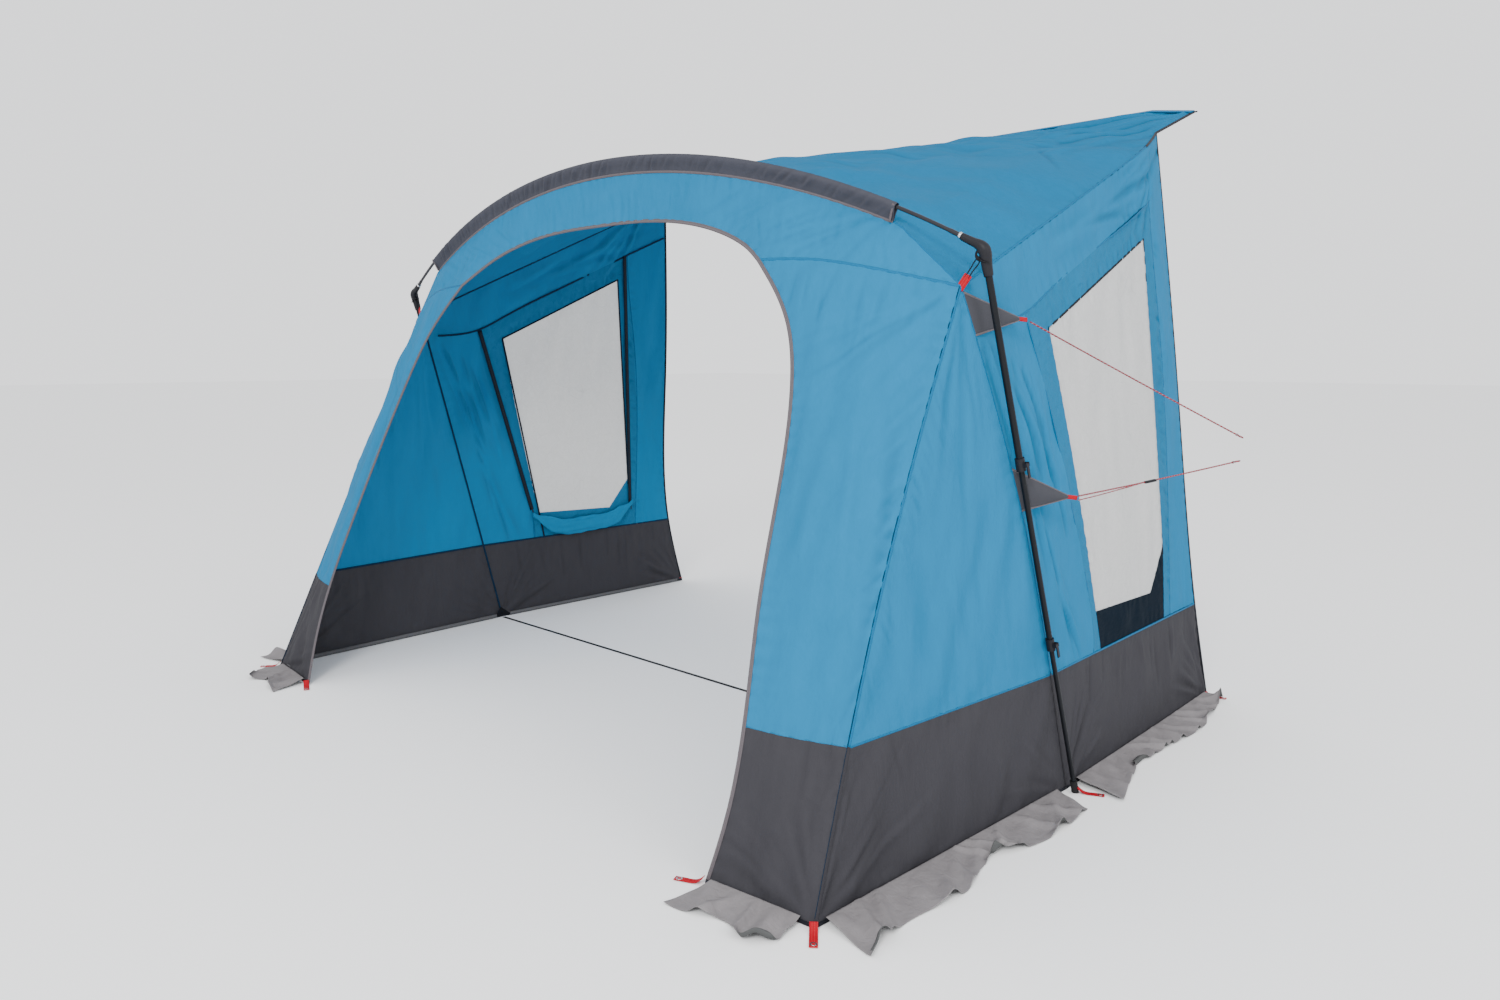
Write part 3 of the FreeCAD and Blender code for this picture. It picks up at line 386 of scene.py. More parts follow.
def joined(*parts):
    """Several bmeshes as one."""
    whole = bmesh.new()
    for part in parts:
        mesh = bpy.data.meshes.new("part")
        part.to_mesh(mesh)
        whole.from_mesh(mesh)
        bpy.data.meshes.remove(mesh)
    return whole


def add_object(name, bm, material, body="root", smooth=True):
    """Turns a bmesh into an object that rides on a body."""
    mesh = bpy.data.meshes.new(name)
    bm.to_mesh(mesh)
    bm.free()
    if smooth:
        mesh.shade_smooth()
    made = bpy.data.objects.new(name, mesh)
    bpy.context.scene.collection.objects.link(made)
    mesh.materials.append(material)
    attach(made, body)
    return made


def add_cloth(name, bm, material, replaces=(), thickness=CLOTH):
    """A sheet of cloth: thickened, in place of its CAD panels, which are hidden.
    """
    made = add_object(name, bm, material)
    solid = made.modifiers.new("Thickness", "SOLIDIFY")
    solid.thickness = thickness
    solid.offset = 0.0
    if replaces:
        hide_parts(*replaces)
    return made


def sweep(bm, line, sides, profile, caps=True):
    """Sweeps a profile of (across, up) points along a line; sides gives the up direction at each point."""
    line, count = np.asarray(line, float), len(profile)
    sides = np.broadcast_to(np.asarray(sides, float), line.shape)
    tangent = units(np.gradient(line, axis=0))
    up = units(sides - tangent * (sides * tangent).sum(axis=1, keepdims=True))
    across = np.cross(tangent, up)
    layer = bm.loops.layers.uv.verify()
    run = lengths(line)
    rings = []
    for i, spot in enumerate(line):
        rings.append([bm.verts.new(spot + across[i] * a + up[i] * b) for a, b in profile])
    for i in range(len(line) - 1):
        for j in range(count):
            k = (j + 1) % count
            face = bm.faces.new([rings[i][j], rings[i][k], rings[i + 1][k], rings[i + 1][j]])
            for loop, u, v in zip(face.loops, (i, i, i + 1, i + 1), (j, j + 1, j + 1, j)):
                loop[layer].uv = (run[u], v / count)
    if caps:
        bm.faces.new(list(reversed(rings[0])))
        bm.faces.new(rings[-1])
    return bm


def flat_profile(width, height, lift=0.0):
    """Rounded flat section, as of a tape or a folded hem."""
    half, thick = width / 2, height / 2
    shape = [
        (-half, 0), (-half * 0.86, thick), (-half * 0.3, thick), (half * 0.3, thick), (half * 0.86, thick)
    ]
    shape += [
        (half, 0), (half * 0.86, -thick), (half * 0.3, -thick), (-half * 0.3, -thick),
        (-half * 0.86, -thick)
    ]
    return [(a, b + lift) for a, b in shape]


def round_profile(radius, count=12):
    turns = np.linspace(0, 2 * math.pi, count, endpoint=False)
    return [(math.cos(t) * radius, math.sin(t) * radius) for t in turns]


# ---------------------------------------------------------------- materials
class Material:
    """A node material while it is built."""

    def __init__(self, name):
        self.made = bpy.data.materials.new(name)
        self.made.use_nodes = True
        self.tree = self.made.node_tree
        self.tree.nodes.clear()

    def add(self, kind, inputs=None, **settings):
        """New shader node with its settings, and its inputs as values or links."""
        node = self.tree.nodes.new("ShaderNode" + kind)
        for key, value in settings.items():
            setattr(node, key, value)
        for key, value in (inputs or {}).items():
            if isinstance(value, bpy.types.NodeSocket):
                self.tree.links.new(value, node.inputs[key])
            else:
                node.inputs[key].default_value = value
        return node

    def maths(self, operation, *values):
        return self.add("Math", dict(enumerate(values)), operation=operation).outputs[0]

    def mix(self, factor, first, second):
        """Mix of two colours."""
        return self.add(
            "Mix", {"Factor": factor, "A": first, "B": second}, data_type="RGBA"
        ).outputs["Result"]

    def noise(self, where, scale, detail, **more):
        inputs = {"Vector": where, "Scale": scale, "Detail": detail}
        inputs.update({key.capitalize(): value for key, value in more.items()})
        return self.add("TexNoise", inputs).outputs["Fac"]

    def bump(self, height, strength, distance, normal=None):
        inputs = {"Height": height, "Strength": strength, "Distance": distance}
        return self.add("Bump", inputs if normal is None else {**inputs, "Normal": normal}).outputs["Normal"]

    def face(self, colour, rough, normal=None, shine=0.5, metallic=0.0):
        """Opaque surface that scatters and reflects light."""
        inputs = {"Base Color": colour, "Roughness": rough, "Specular IOR Level": shine, "Metallic": metallic}
        return self.add(
            "BsdfPrincipled", inputs if normal is None else {**inputs, "Normal": normal}
        ).outputs[0]

    def blend(self, share, first, second):
        """Mix of two surfaces."""
        return self.add("MixShader", {0: share, 1: first, 2: second}).outputs[0]

    def finish(self, surface):
        output = self.tree.nodes.new("ShaderNodeOutputMaterial")
        self.tree.links.new(surface, output.inputs["Surface"])
        return self.made


def shade(colour, factor):
    return tuple(min(1.0, c * factor) for c in colour[:3]) + (1.0,)


def cloth_material(
    name, colour, through=0.22, rough=0.75, mottle=0.07, wrinkle=0.5, scale=(1, 1, 0.3), shine=0.10
):
    """Coated woven cloth: weave, fine crinkles, uneven colour, painted shade in the creases, and light that
    comes through.
    """
    made = Material(name)
    where = made.add("TexCoord").outputs["Object"]
    placed = made.add("Mapping", {"Vector": where, "Scale": scale}).outputs["Vector"]
    broad = made.noise(placed, 2.6, 4.0, roughness=0.6)
    streak = made.noise(placed, 26.0, 5.0, roughness=0.6, distortion=0.5)
    crush = made.maths("ABSOLUTE", made.maths("SUBTRACT", made.noise(where, 11.0, 2.0, distortion=1.5), 0.5))
    threads = []
    for way in ("X", "Z"):
        wave = made.add("TexWave", {"Vector": where, "Scale": 260.0, "Distortion": 0.6}, bands_direction=way)
        threads.append(wave.outputs["Fac"])
    weave = made.maths("MULTIPLY", *threads)
    tone = made.maths("ADD", broad, streak)
    share = made.add("MapRange", {"Value": tone, "From Min": 0.6, "From Max": 1.4}).outputs["Result"]
    tint = made.mix(share, shade(colour, 1 - mottle), shade(colour, 1 + mottle))
    # Painted shade: the colour darkens where the mesh lies in a crease, by the furrow attribute.
    furrow = made.add("Attribute", attribute_name="furrow").outputs["Fac"]
    tint = made.mix(furrow, tint, shade(colour, 0.78))
    normal = made.bump(crush, 0.22 * wrinkle, 0.02)
    for height, strength, deep in ((streak, wrinkle, 0.006), (weave, 0.15, 0.0004)):
        normal = made.bump(height, strength, deep, normal)
    pale = made.mix(0.12, tint, (0.75, 0.75, 0.75, 1))
    glow = made.add("BsdfTranslucent", {"Color": pale, "Normal": normal}).outputs[0]
    return made.finish(made.blend(through, made.face(tint, rough, normal, shine), glow))


def tape_material(name, colour, rough=0.6, thread=None, pitch=0.0045, rows=2):
    """Sewn tape or folded seam: ribs across it and rows of stitches along it, from the strip's own UV."""
    made = Material(name)
    coords = made.add("TexCoord")
    split = made.add("SeparateXYZ", {"Vector": coords.outputs["UV"]})
    beat = made.maths("FRACT", made.maths("MULTIPLY", split.outputs["X"], 1.0 / pitch))
    lane = made.maths("FRACT", made.maths("MULTIPLY", split.outputs["Y"], 5.0 * rows))
    stitch = made.maths("MULTIPLY", made.maths("LESS_THAN", beat, 0.62), made.maths("LESS_THAN", lane, 0.2))
    grain = made.noise(coords.outputs["Object"], 160.0, 4.0)
    tint = made.mix(grain, shade(colour, 0.8), shade(colour, 1.18))
    tint = made.mix(stitch, tint, thread or shade(colour, 0.55))
    bump = made.bump(made.maths("MULTIPLY_ADD", stitch, -0.8, grain), 0.5, 0.0008)
    return made.finish(made.face(tint, rough, bump, 0.08))


def film_material(name):
    """Cloudy window film: pale, slightly see-through, gridded, with fine creases from folding."""
    made = Material(name)
    where = made.add("TexCoord").outputs["Object"]
    bent = made.add("TexNoise", {"Vector": where, "Scale": 3.0, "Detail": 2.0}).outputs["Color"]
    bent = made.add("VectorMath", {0: bent, 1: (0.25, 0.25, 0.25)}, operation="MULTIPLY").outputs["Vector"]
    bent = made.add("VectorMath", {0: where, 1: bent}, operation="ADD").outputs["Vector"]
    cells = made.add(
        "TexVoronoi", {"Vector": bent, "Scale": 7.0}, feature="DISTANCE_TO_EDGE"
    ).outputs["Distance"]
    noise = made.noise(where, 55.0, 7.0, roughness=0.7, distortion=1.2)
    line = made.add(
        "MapRange", {"Value": cells, "From Max": 0.012, "To Min": 1.0, "To Max": 0.0}
    ).outputs["Result"]
    gaps = made.add("MapRange", {"Value": noise, "From Min": 0.45, "From Max": 0.6}).outputs["Result"]
    marked = made.maths("MULTIPLY", made.maths("MULTIPLY", line, gaps), 0.45)
    grey = made.mix(noise, (0.62, 0.62, 0.61, 1), (0.86, 0.86, 0.85, 1))
    tint = made.mix(marked, grey, (0.42, 0.43, 0.44, 1))
    bump = made.bump(noise, 0.4, 0.003)
    glow = made.add("BsdfTranslucent", {"Color": tint, "Normal": bump}).outputs[0]
    clear = made.add("BsdfTransparent", {"Color": (0.95, 0.95, 0.95, 1)}).outputs[0]
    milky = made.blend(0.5, made.face(tint, 0.4, bump, 0.3), glow)
    return made.finish(made.blend(0.16, milky, clear))


def hard_material(name, colour, rough=0.4, metallic=0.0, grain=0.08, scratch=0.15, shine=0.2):
    """Moulded, painted or metal surface with fine grain and worn patches."""
    made = Material(name)
    where = made.add("TexCoord").outputs["Object"]
    patch = made.noise(where, 14.0, 6.0, roughness=0.7)
    tint = made.mix(patch, shade(colour, 1 - scratch), shade(colour, 1 + scratch))
    gloss = made.add(
        "MapRange", {"Value": patch, "To Min": rough * 0.8, "To Max": rough * 1.25}
    ).outputs["Result"]
    bump = made.bump(made.noise(where, 420.0, 3.0), grain, 0.0005)
    return made.finish(made.face(tint, gloss, bump, shine, metallic))


def cord_material(name):
    """Twisted guy cord: red with white and black flecks that wind round it."""
    made = Material(name)
    split = made.add("SeparateXYZ", {"Vector": made.add("TexCoord").outputs["UV"]})
    part = made.maths("FRACT", made.maths("MULTIPLY_ADD", split.outputs["X"], 60.0, split.outputs["Y"]))
    white = made.maths("LESS_THAN", part, 0.14)
    black = made.maths("GREATER_THAN", part, 0.82)
    tint = made.mix(white, (0.22, 0.001, 0.010, 1), (0.40, 0.26, 0.28, 1))
    tint = made.mix(black, tint, (0.03, 0.03, 0.035, 1))
    wave = made.maths("SINE", made.maths("MULTIPLY", part, 6.283))
    return made.finish(made.face(tint, 0.7, made.bump(wave, 0.6, 0.0006)))


BLUE = (0.011, 0.203, 0.405)
GREY = (0.050, 0.052, 0.066)
MATERIALS = {
    "blue": cloth_material("TentBlue", BLUE, through=0.29),
    # Painted shade: the roof's blue is the wall blue darkened a little, as the roof looks darker.
    "roof": cloth_material("TentBlueRoof", shade(BLUE, 0.95), through=0.40, shine=0.09, scale=(1, 2.2, 2.2)),
    "band": cloth_material("TentBlueBand", (0.010, 0.155, 0.310), through=0.18, wrinkle=1.4, scale=(1, 1, 1)),
    "mudwall": cloth_material("MudwallGrey", (0.040, 0.039, 0.045), through=0.08, wrinkle=0.6),
    "skirt": cloth_material(
        "SkirtGrey", (0.20, 0.187, 0.192), through=0.05, wrinkle=0.9, mottle=0.12, scale=(1, 1, 1)
    ),
    # Painted shadow: the skirts' underside, seen at their curled edges, is dark grey.
    "skirt_under_shade": cloth_material(
        "SkirtUndersideShade", (0.070, 0.072, 0.072), through=0.0, wrinkle=0.6, scale=(1, 1, 1)
    ),
    "sleeve": cloth_material("SleeveGrey", GREY, through=0.05, wrinkle=0.5, scale=(1, 1, 1)),
    "tab": cloth_material("TabGrey", (0.045, 0.046, 0.054), through=0.0, wrinkle=0.3),
    # Painted shade: the blind's blue is the wall blue darkened a little, for its place in the shade inside.
    "blind": cloth_material("BlindBlue", shade(BLUE, 0.9), through=0.10, scale=(1, 1, 1)),
    # Painted shade: near-black navy for the window's foot, where the dim inside shows through the film.
    "pouch_shade": cloth_material(
        "PouchPaintedShade", (0.002, 0.007, 0.014), through=0.0, rough=0.7, shine=0.04, scale=(1, 1, 3)
    ),
    "film": film_material("WindowFilm"),
    "seam_blue": tape_material("SeamBlue", (0.004, 0.115, 0.25)),
    "seam_grey": tape_material("SeamGrey", (0.030, 0.029, 0.034)),
    # Painted shade: the allowances seen from inside are near-black, for doubled cloth against the light.
    "seam_inside": tape_material("SeamInside", (0.003, 0.020, 0.048)),
    "binding": tape_material("BindingGrey", (0.105, 0.092, 0.100), rows=1),
    "foot_tape": tape_material("FootTape", (0.105, 0.105, 0.110), rows=1),
    "hem_black": tape_material("HemBlack", (0.012, 0.013, 0.018)),
    "red": tape_material("RedWebbing", (0.34, 0.0, 0.010), thread=(0.5, 0.05, 0.05, 1)),
    "strap": tape_material("BlackWebbing", (0.012, 0.012, 0.015)),
    "cord": cord_material("GuyCord"),
    "elastic": hard_material("ElasticBlack", (0.009, 0.009, 0.011), rough=0.8, grain=0.5),
    "pole": hard_material("FibreglassBlack", (0.012, 0.012, 0.016), rough=0.35, shine=0.3),
    "steel": hard_material("PaintedSteelBlack", (0.006, 0.007, 0.009), rough=0.42, scratch=0.3, shine=0.15),
    "plastic": hard_material("MouldedBlack", (0.010, 0.010, 0.013), rough=0.5, grain=0.35),
    "rubber": hard_material("FootRubber", (0.012, 0.012, 0.013), rough=0.8, grain=0.5),
    "bright": hard_material(
        "BrightSteel", (0.62, 0.62, 0.63), rough=0.25, metallic=1.0, scratch=0.2, shine=0.5
    ),
    "zip": tape_material("ZipBlack", (0.006, 0.012, 0.022), pitch=0.003, rows=1),
}

NODE_MATERIALS = {
    "arch_pole": "pole", "pole_ferrules": "pole", "shock_cord": "elastic",
    "leg_upper_tube": "steel", "leg_middle_tube": "steel", "leg_lower_tube": "steel", "clamp": "plastic",
    "lever": "plastic", "foot_plug": "rubber", "peg_eyelets": "bright", "roof_keder": "plastic",
    "zip_slider": "plastic", "guy_tensioner": "plastic", "guy_line": "cord",
}


def finish_nodes():
    """Gives every CAD node that stays its material."""
    for name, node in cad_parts.items():
        for start, key in NODE_MATERIALS.items():
            if name.startswith(start):
                node.data.materials.clear()
                node.data.materials.append(MATERIALS[key])


# ---------------------------------------------------------------- walls
def wall_columns(a, b):
    """Number of grid points across two lines, from their widest gap."""
    return max(12, int(np.linalg.norm(a - b, axis=1).max() / GRID))


WALL = wall_surface(160, 60)


def wall_spot(side, y, z, inward=0.0):
    """Point on the rear side wall at a given y and z, moved inward by a distance."""
    spots = [[np.interp(y, row[:, 1], row[:, k]) for k in (0, 2)] for row in WALL]
    xs, zs = zip(*spots)
    return np.array([side * (np.interp(z, zs, xs) - inward), y, z])


def wall_line(side, points, count, inward=0.0):
    """Line on the rear side wall through (y, z) points."""
    return spline([wall_spot(side, y, z, inward) for y, z in points], count)


WINDOW = [(0.02, 1.59), (0.81, 1.945), (0.94, 0.70), (0.94, 0.44), (0.325, 0.44)]
FILM_FOOT = [(0.285, 0.585), (0.80, 0.565), (0.935, 0.735)]
TOP_SEAM = [(-0.375, 1.60), (-0.14, 1.632), (0.02, 1.705), (0.45, 1.90), (0.86, 2.085), (1.112, 2.205)]
BAND_SEAM = [(0.874, 2.09), (0.889, 1.95), (0.948, 1.6), (0.995, 1.117), (1.004, 0.747), (1.007, 0.437)]
FRONT_BAND_SEAM = [(-0.128, 1.635), (-0.003, 1.31), (0.138, 0.909), (0.237, 0.609), (0.262, 0.44)]
ZIPS = {"front": (0.237, 0.609, -0.128, 1.630), "rear": (0.957, 0.560, 0.852, 2.085)}


def inside_window(spot):
    """True inside the window's outline, which is convex in side view."""
    for (y0, z0), (y1, z1) in zip(WINDOW, WINDOW[1:] + WINDOW[:1]):
        if (y1 - y0) * (spot.z - z0) - (z1 - z0) * (spot.y - y0) > 0:
            return False
    return True


def above_film_foot(spot):
    ys, zs = zip(*FILM_FOOT)
    return spot.z > np.interp(spot.y, ys, zs)


def make_front(side, rng):
    """Front panel and its mudwall, from the doorway to the corner."""
    left, right = flip(door_jamb(230), side), flip(front_ridge(230), side)
    low, high = flip(straight(JAMB_FOOT, FRONT_CORNER, 88), side), flip(front_seam(88), side)
    shoulder = flip(SHOULDER, side)[[0, 2]]
    toward = (lambda degrees: degrees if side > 0 else 180 - degrees)
    creases = fan(rng, shoulder, toward(-165), toward(-108), 9, 0.46, 0.0040, 0.014)
    creases += folds(rng, (side * 1.00, 1.78), (side * 1.56, 1.72), (0, -1), 24, 0.20, 0.0027, 0.011)
    creases += folds(rng, (side * 1.15, 1.45), (side * 1.58, 1.35), (side * 0.10, -1), 9, 0.80, 0.0045, 0.022)
    creases += folds(
        rng, (side * 1.58, 1.50), (side * 1.685, 0.50), (-side * 0.42, -1), 34, 0.13, 0.0035, 0.010
    )
    creases += folds(rng, (side * 1.50, 0.44), (side * 1.68, 0.44), (side * 0.04, -1), 7, 0.22, 0.0035, 0.011)
    creases += fan(rng, (side * 1.70, 0.0), toward(98), toward(168), 9, 0.34, 0.0055, 0.015)
    pinned = [left, right, high, low, flip(mudwall_line(door_jamb(150), front_ridge(150), 60), side)]
    grid = coons(left, right, low, high)
    return cloth_grid(
        grid, (0.2 * side, -1, 0.3), [0, 2], pinned, creases, rng, billow=0.007, stretch=(1.6, 0.6)
    )


def make_side_front(side, rng):
    """Triangle of side wall between the corner ridge and the pole seam."""
    ridge, seam = flip(front_ridge(220), side), flip(pole_seam(220), side)
    grid = ruled(ridge, seam, wall_columns(ridge, seam))
    creases = fan(rng, (SHOULDER[1], SHOULDER[2]), -115, -80, 7, 0.7, 0.0040, 0.018)
    creases += fan(rng, (FRONT_CORNER[1], 0.0), 18, 70, 9, 0.50, 0.0055, 0.015)
    creases += fan(rng, (SEAM_FOOT[1], 0.0), 115, 168, 6, 0.34, 0.0040, 0.014)
    creases += folds(rng, (-0.60, 1.45), (-1.02, 0.55), (0.45, -1), 30, 0.14, 0.0035, 0.010)
    creases += folds(rng, (-1.16, 0.44), (-0.80, 0.44), (0.10, -1), 9, 0.22, 0.0035, 0.011)
    creases += folds(rng, (-0.95, 0.92), (-0.30, 0.92), (0.06, -1), 6, 0.50, 0.0025, 0.024)
    pinned = [ridge, seam, grid[0], flip(mudwall_line(front_ridge(150), pole_seam(150), 60), side)]
    return cloth_grid(grid, (side, -0.2, 0.1), [1, 2], pinned, creases, rng, billow=0.007, stretch=(1.5, 0.6))


def in_band(spot):
    """True in the doubled strip of cloth round the window."""
    ys, zs = zip(*TOP_SEAM)
    front_ys, front_zs = zip(*FRONT_BAND_SEAM[::-1])
    rear_ys, rear_zs = zip(*BAND_SEAM[::-1])
    front, rear = np.interp(spot.z, front_zs, front_ys), np.interp(spot.z, rear_zs, rear_ys)
    return spot.z < np.interp(spot.y, ys, zs) and front < spot.y < rear


def make_side_rear(side, rng):
    """Side wall behind the pole seam, with the creases round the window."""
    grid = flip(wall_surface(250, int((REAR_CORNER[1] - SHOULDER[1]) / GRID)), side)
    lines = [grid[:, 0], grid[:, -1], grid[0], grid[-1]]
    lines += [wall_line(side, line, 60) for line in (TOP_SEAM, BAND_SEAM)]
    lines += [flip(mudwall_line(pole_seam(150), rear_edge(150), 60), side)]
    outline = WINDOW + WINDOW[:1]
    for (y0, z0), (y1, z1) in [*zip(outline, outline[1:]), *zip(FILM_FOOT, FILM_FOOT[1:])]:
        lines.append(straight(wall_spot(side, y0, z0), wall_spot(side, y1, z1), 30))
    creases = folds(rng, (-0.40, 1.56), (-0.12, 1.45), (0.38, -0.92), 10, 0.55, 0.0200, 0.015)
    creases += folds(rng, (-0.30, 1.40), (0.05, 0.60), (0.40, -0.91), 12, 0.34, 0.0130, 0.014)
    creases += folds(rng, (0.885, 1.95), (0.985, 0.50), (0.9, -0.45), 46, 0.07, 0.0070, 0.010)
    creases += folds(rng, (0.02, 1.64), (0.84, 2.02), (0.15, -1), 26, 0.09, 0.0065, 0.010)
    creases += folds(rng, (0.0, 1.82), (0.85, 2.18), (0.9, 0.35), 8, 0.5, 0.0080, 0.018)
    creases += fan(rng, (0.96, 2.33), -160, -100, 7, 0.40, 0.0090, 0.014)
    creases += fan(rng, (1.42, 0.0), 105, 168, 8, 0.40, 0.0100, 0.016)
    creases += fan(rng, (SEAM_FOOT[1], 0.0), 20, 75, 7, 0.40, 0.0100, 0.016)
    creases += folds(rng, (0.1, 0.43), (1.3, 0.43), (0.12, -1), 12, 0.24, 0.0060, 0.014)
    return cloth_grid(grid, (side, 0.1, 0.1), [1, 2], lines, creases, rng, billow=0.004, stretch=(1.4, 0.7))


def make_walls(side_name, side):
    """All of one side: blue panels, mudwall, window film and, under the film, a near-black sheet of painted
    shade for the dim inside, cut from three sheets.
    """
    rng = np.random.default_rng(11 if side > 0 else 23)
    front, side_front = make_front(side, rng), make_side_front(side, rng)
    side_rear = make_side_rear(side, rng)
    for bm in (front, side_front, side_rear):
        cut_plane(bm, (0, 0, MUDWALL), (0, 0, 1))
    for line in (WINDOW + WINDOW[:1], FILM_FOOT, TOP_SEAM, BAND_SEAM, FRONT_BAND_SEAM):
        for (y0, z0), (y1, z1) in zip(line, line[1:]):
            cut_plane(side_rear, (0, y0, z0), (0, z1 - z0, y0 - y1))
    for face in side_rear.faces:
        spot = face.calc_center_median()
        face.material_index = int(spot.z > MUDWALL and in_band(spot) and not inside_window(spot))
    above, below = (lambda spot: spot.z > MUDWALL), (lambda spot: spot.z < MUDWALL)
    grey = joined(kept(front, below), kept(side_front, below), kept(side_rear, below))
    film = kept(side_rear, lambda spot: inside_window(spot) and above_film_foot(spot))
    # The window's foot: a near-black sheet, painted shade for the dim inside seen through the film.
    pouch_shade = kept(side_rear, lambda spot: inside_window(spot) and not above_film_foot(spot))
    wall = kept(side_rear, lambda spot: spot.z > MUDWALL and not inside_window(spot))
    sheets = (
        ("front_panel_cloth", kept(front, above), "blue", "blue_fabric", (0.85, 1.65), "front_panel"),
        ("side_front_cloth", kept(side_front, above), "blue", "blue_fabric", (1.0, 1.45), "side_front"),
        ("side_rear_cloth", wall, "blue", "blue_fabric", (1.75, 2.05), "side_rear"),
        ("mudwall_cloth", grey, "mudwall", "mudwall_fabric", (3.2, 0.5), "mudwall"),
        ("window_film_sheet", film, "film", "window_film", (1.0, 1.45), "window_film"),
        ("window_pouch_cloth", pouch_shade, "pouch_shade", "blue_fabric", (0.65, 0.20), ""),
    )
    for name, bm, material, slot, flat, node in sheets:
        parts = ("front_panel", "front_panel_head") if node == "front_panel" else (node,)
        replaced = [f"{part}_{side_name}" for part in parts if part]
        made = add_cloth(
            f"{name}_{side_name}", bm, MATERIALS[material], replaced,
        )
        if name in ("side_rear_cloth", "window_pouch_cloth"):
            made.data.materials.append(MATERIALS["band"])
        if name == "window_pouch_cloth":
            made.modifiers["Thickness"].material_offset = 1
    for bm in (front, side_front, side_rear):
        bm.free()


# ---------------------------------------------------------------- roof, brow and sleeve
def make_roof():
    """Roof sheet: from the arch back to the rear edge, whose corners droop."""
    rng = np.random.default_rng(5)
    count = 380
    side_edge = roof_side(240)
    grid = coons(side_edge, flip(side_edge, -1), roof_front(count), rear_line(count))
    creases = fan(rng, (1.56, 1.33), -178, -105, 14, 0.85, 0.0120, 0.018)
    creases += fan(rng, (-1.56, 1.33), -75, -2, 14, 0.85, 0.0120, 0.018)
    creases += folds(rng, (-1.3, 1.25), (1.3, 1.25), (0.1, -1), 22, 0.35, 0.0060, 0.018)
    for side in SIDES.values():
        creases += folds(
            rng, (side * 0.9, -0.1), (side * 1.5, 1.1), (-side * 0.95, -0.25), 14, 0.7, 0.0088, 0.020
        )
        creases += folds(rng, (side * 1.5, 0.3), (side * 1.0, 1.3), (-side * 0.7, 0.7), 8, 0.4, 0.0072, 0.020)
    creases += folds(rng, (-1.3, -0.5), (1.3, -0.5), (0.05, 1), 34, 0.25, 0.0048, 0.014)
    pinned = [grid[:, 0], grid[0], grid[-1], grid[:, -1]]
    bm = cloth_grid(
        grid, (0, -0.3, 1), [0, 1], pinned, creases, rng, billow=0.010, stretch=(0.8, 1.5), wave=0.4
    )
    add_cloth("roof_cloth", bm, MATERIALS["roof"], ["roof_panel"])


def brow_edges(count):
    """Lower edge of the brow, along the front seams and the door's head, and its upper edge on the arch."""
    seam = front_seam(40)[::-1]
    low = even(np.concatenate([seam, door_head(120)[1:-1], flip(seam[::-1], -1)]), count)
    return low, roof_front(count)


def make_brow():
    """Band of blue cloth between the doorway's head and the arch."""
    rng = np.random.default_rng(8)
    low, high = brow_edges(430)
    grid = ruled(low, high, 42)
    creases = []
    for side in SIDES.values():
        first, last = (-175, -120) if side > 0 else (-60, -5)
        creases += fan(rng, (side * 1.36, 1.96), first, last, 7, 0.5, 0.0036, 0.013)
        creases += folds(
            rng, (side * 0.9, 1.86), (side * 1.5, 1.76), (-side * 0.3, 1), 14, 0.15, 0.0027, 0.011
        )
        creases += folds(
            rng, (side * 0.55, 1.99), (side * 0.98, 1.87), (side * 0.8, 0.25), 12, 0.25, 0.0034, 0.011
        )
    creases += folds(rng, (-1.1, 2.13), (1.1, 2.13), (0.05, -1), 44, 0.11, 0.0025, 0.010)
    bm = cloth_grid(
        grid, (0, -1, 0.4), [0, 2], [low, high, grid[0], grid[-1]], creases, rng, billow=0.005, wave=0.25
    )
    add_cloth("brow_cloth", bm, MATERIALS["blue"], ["brow_panel"])


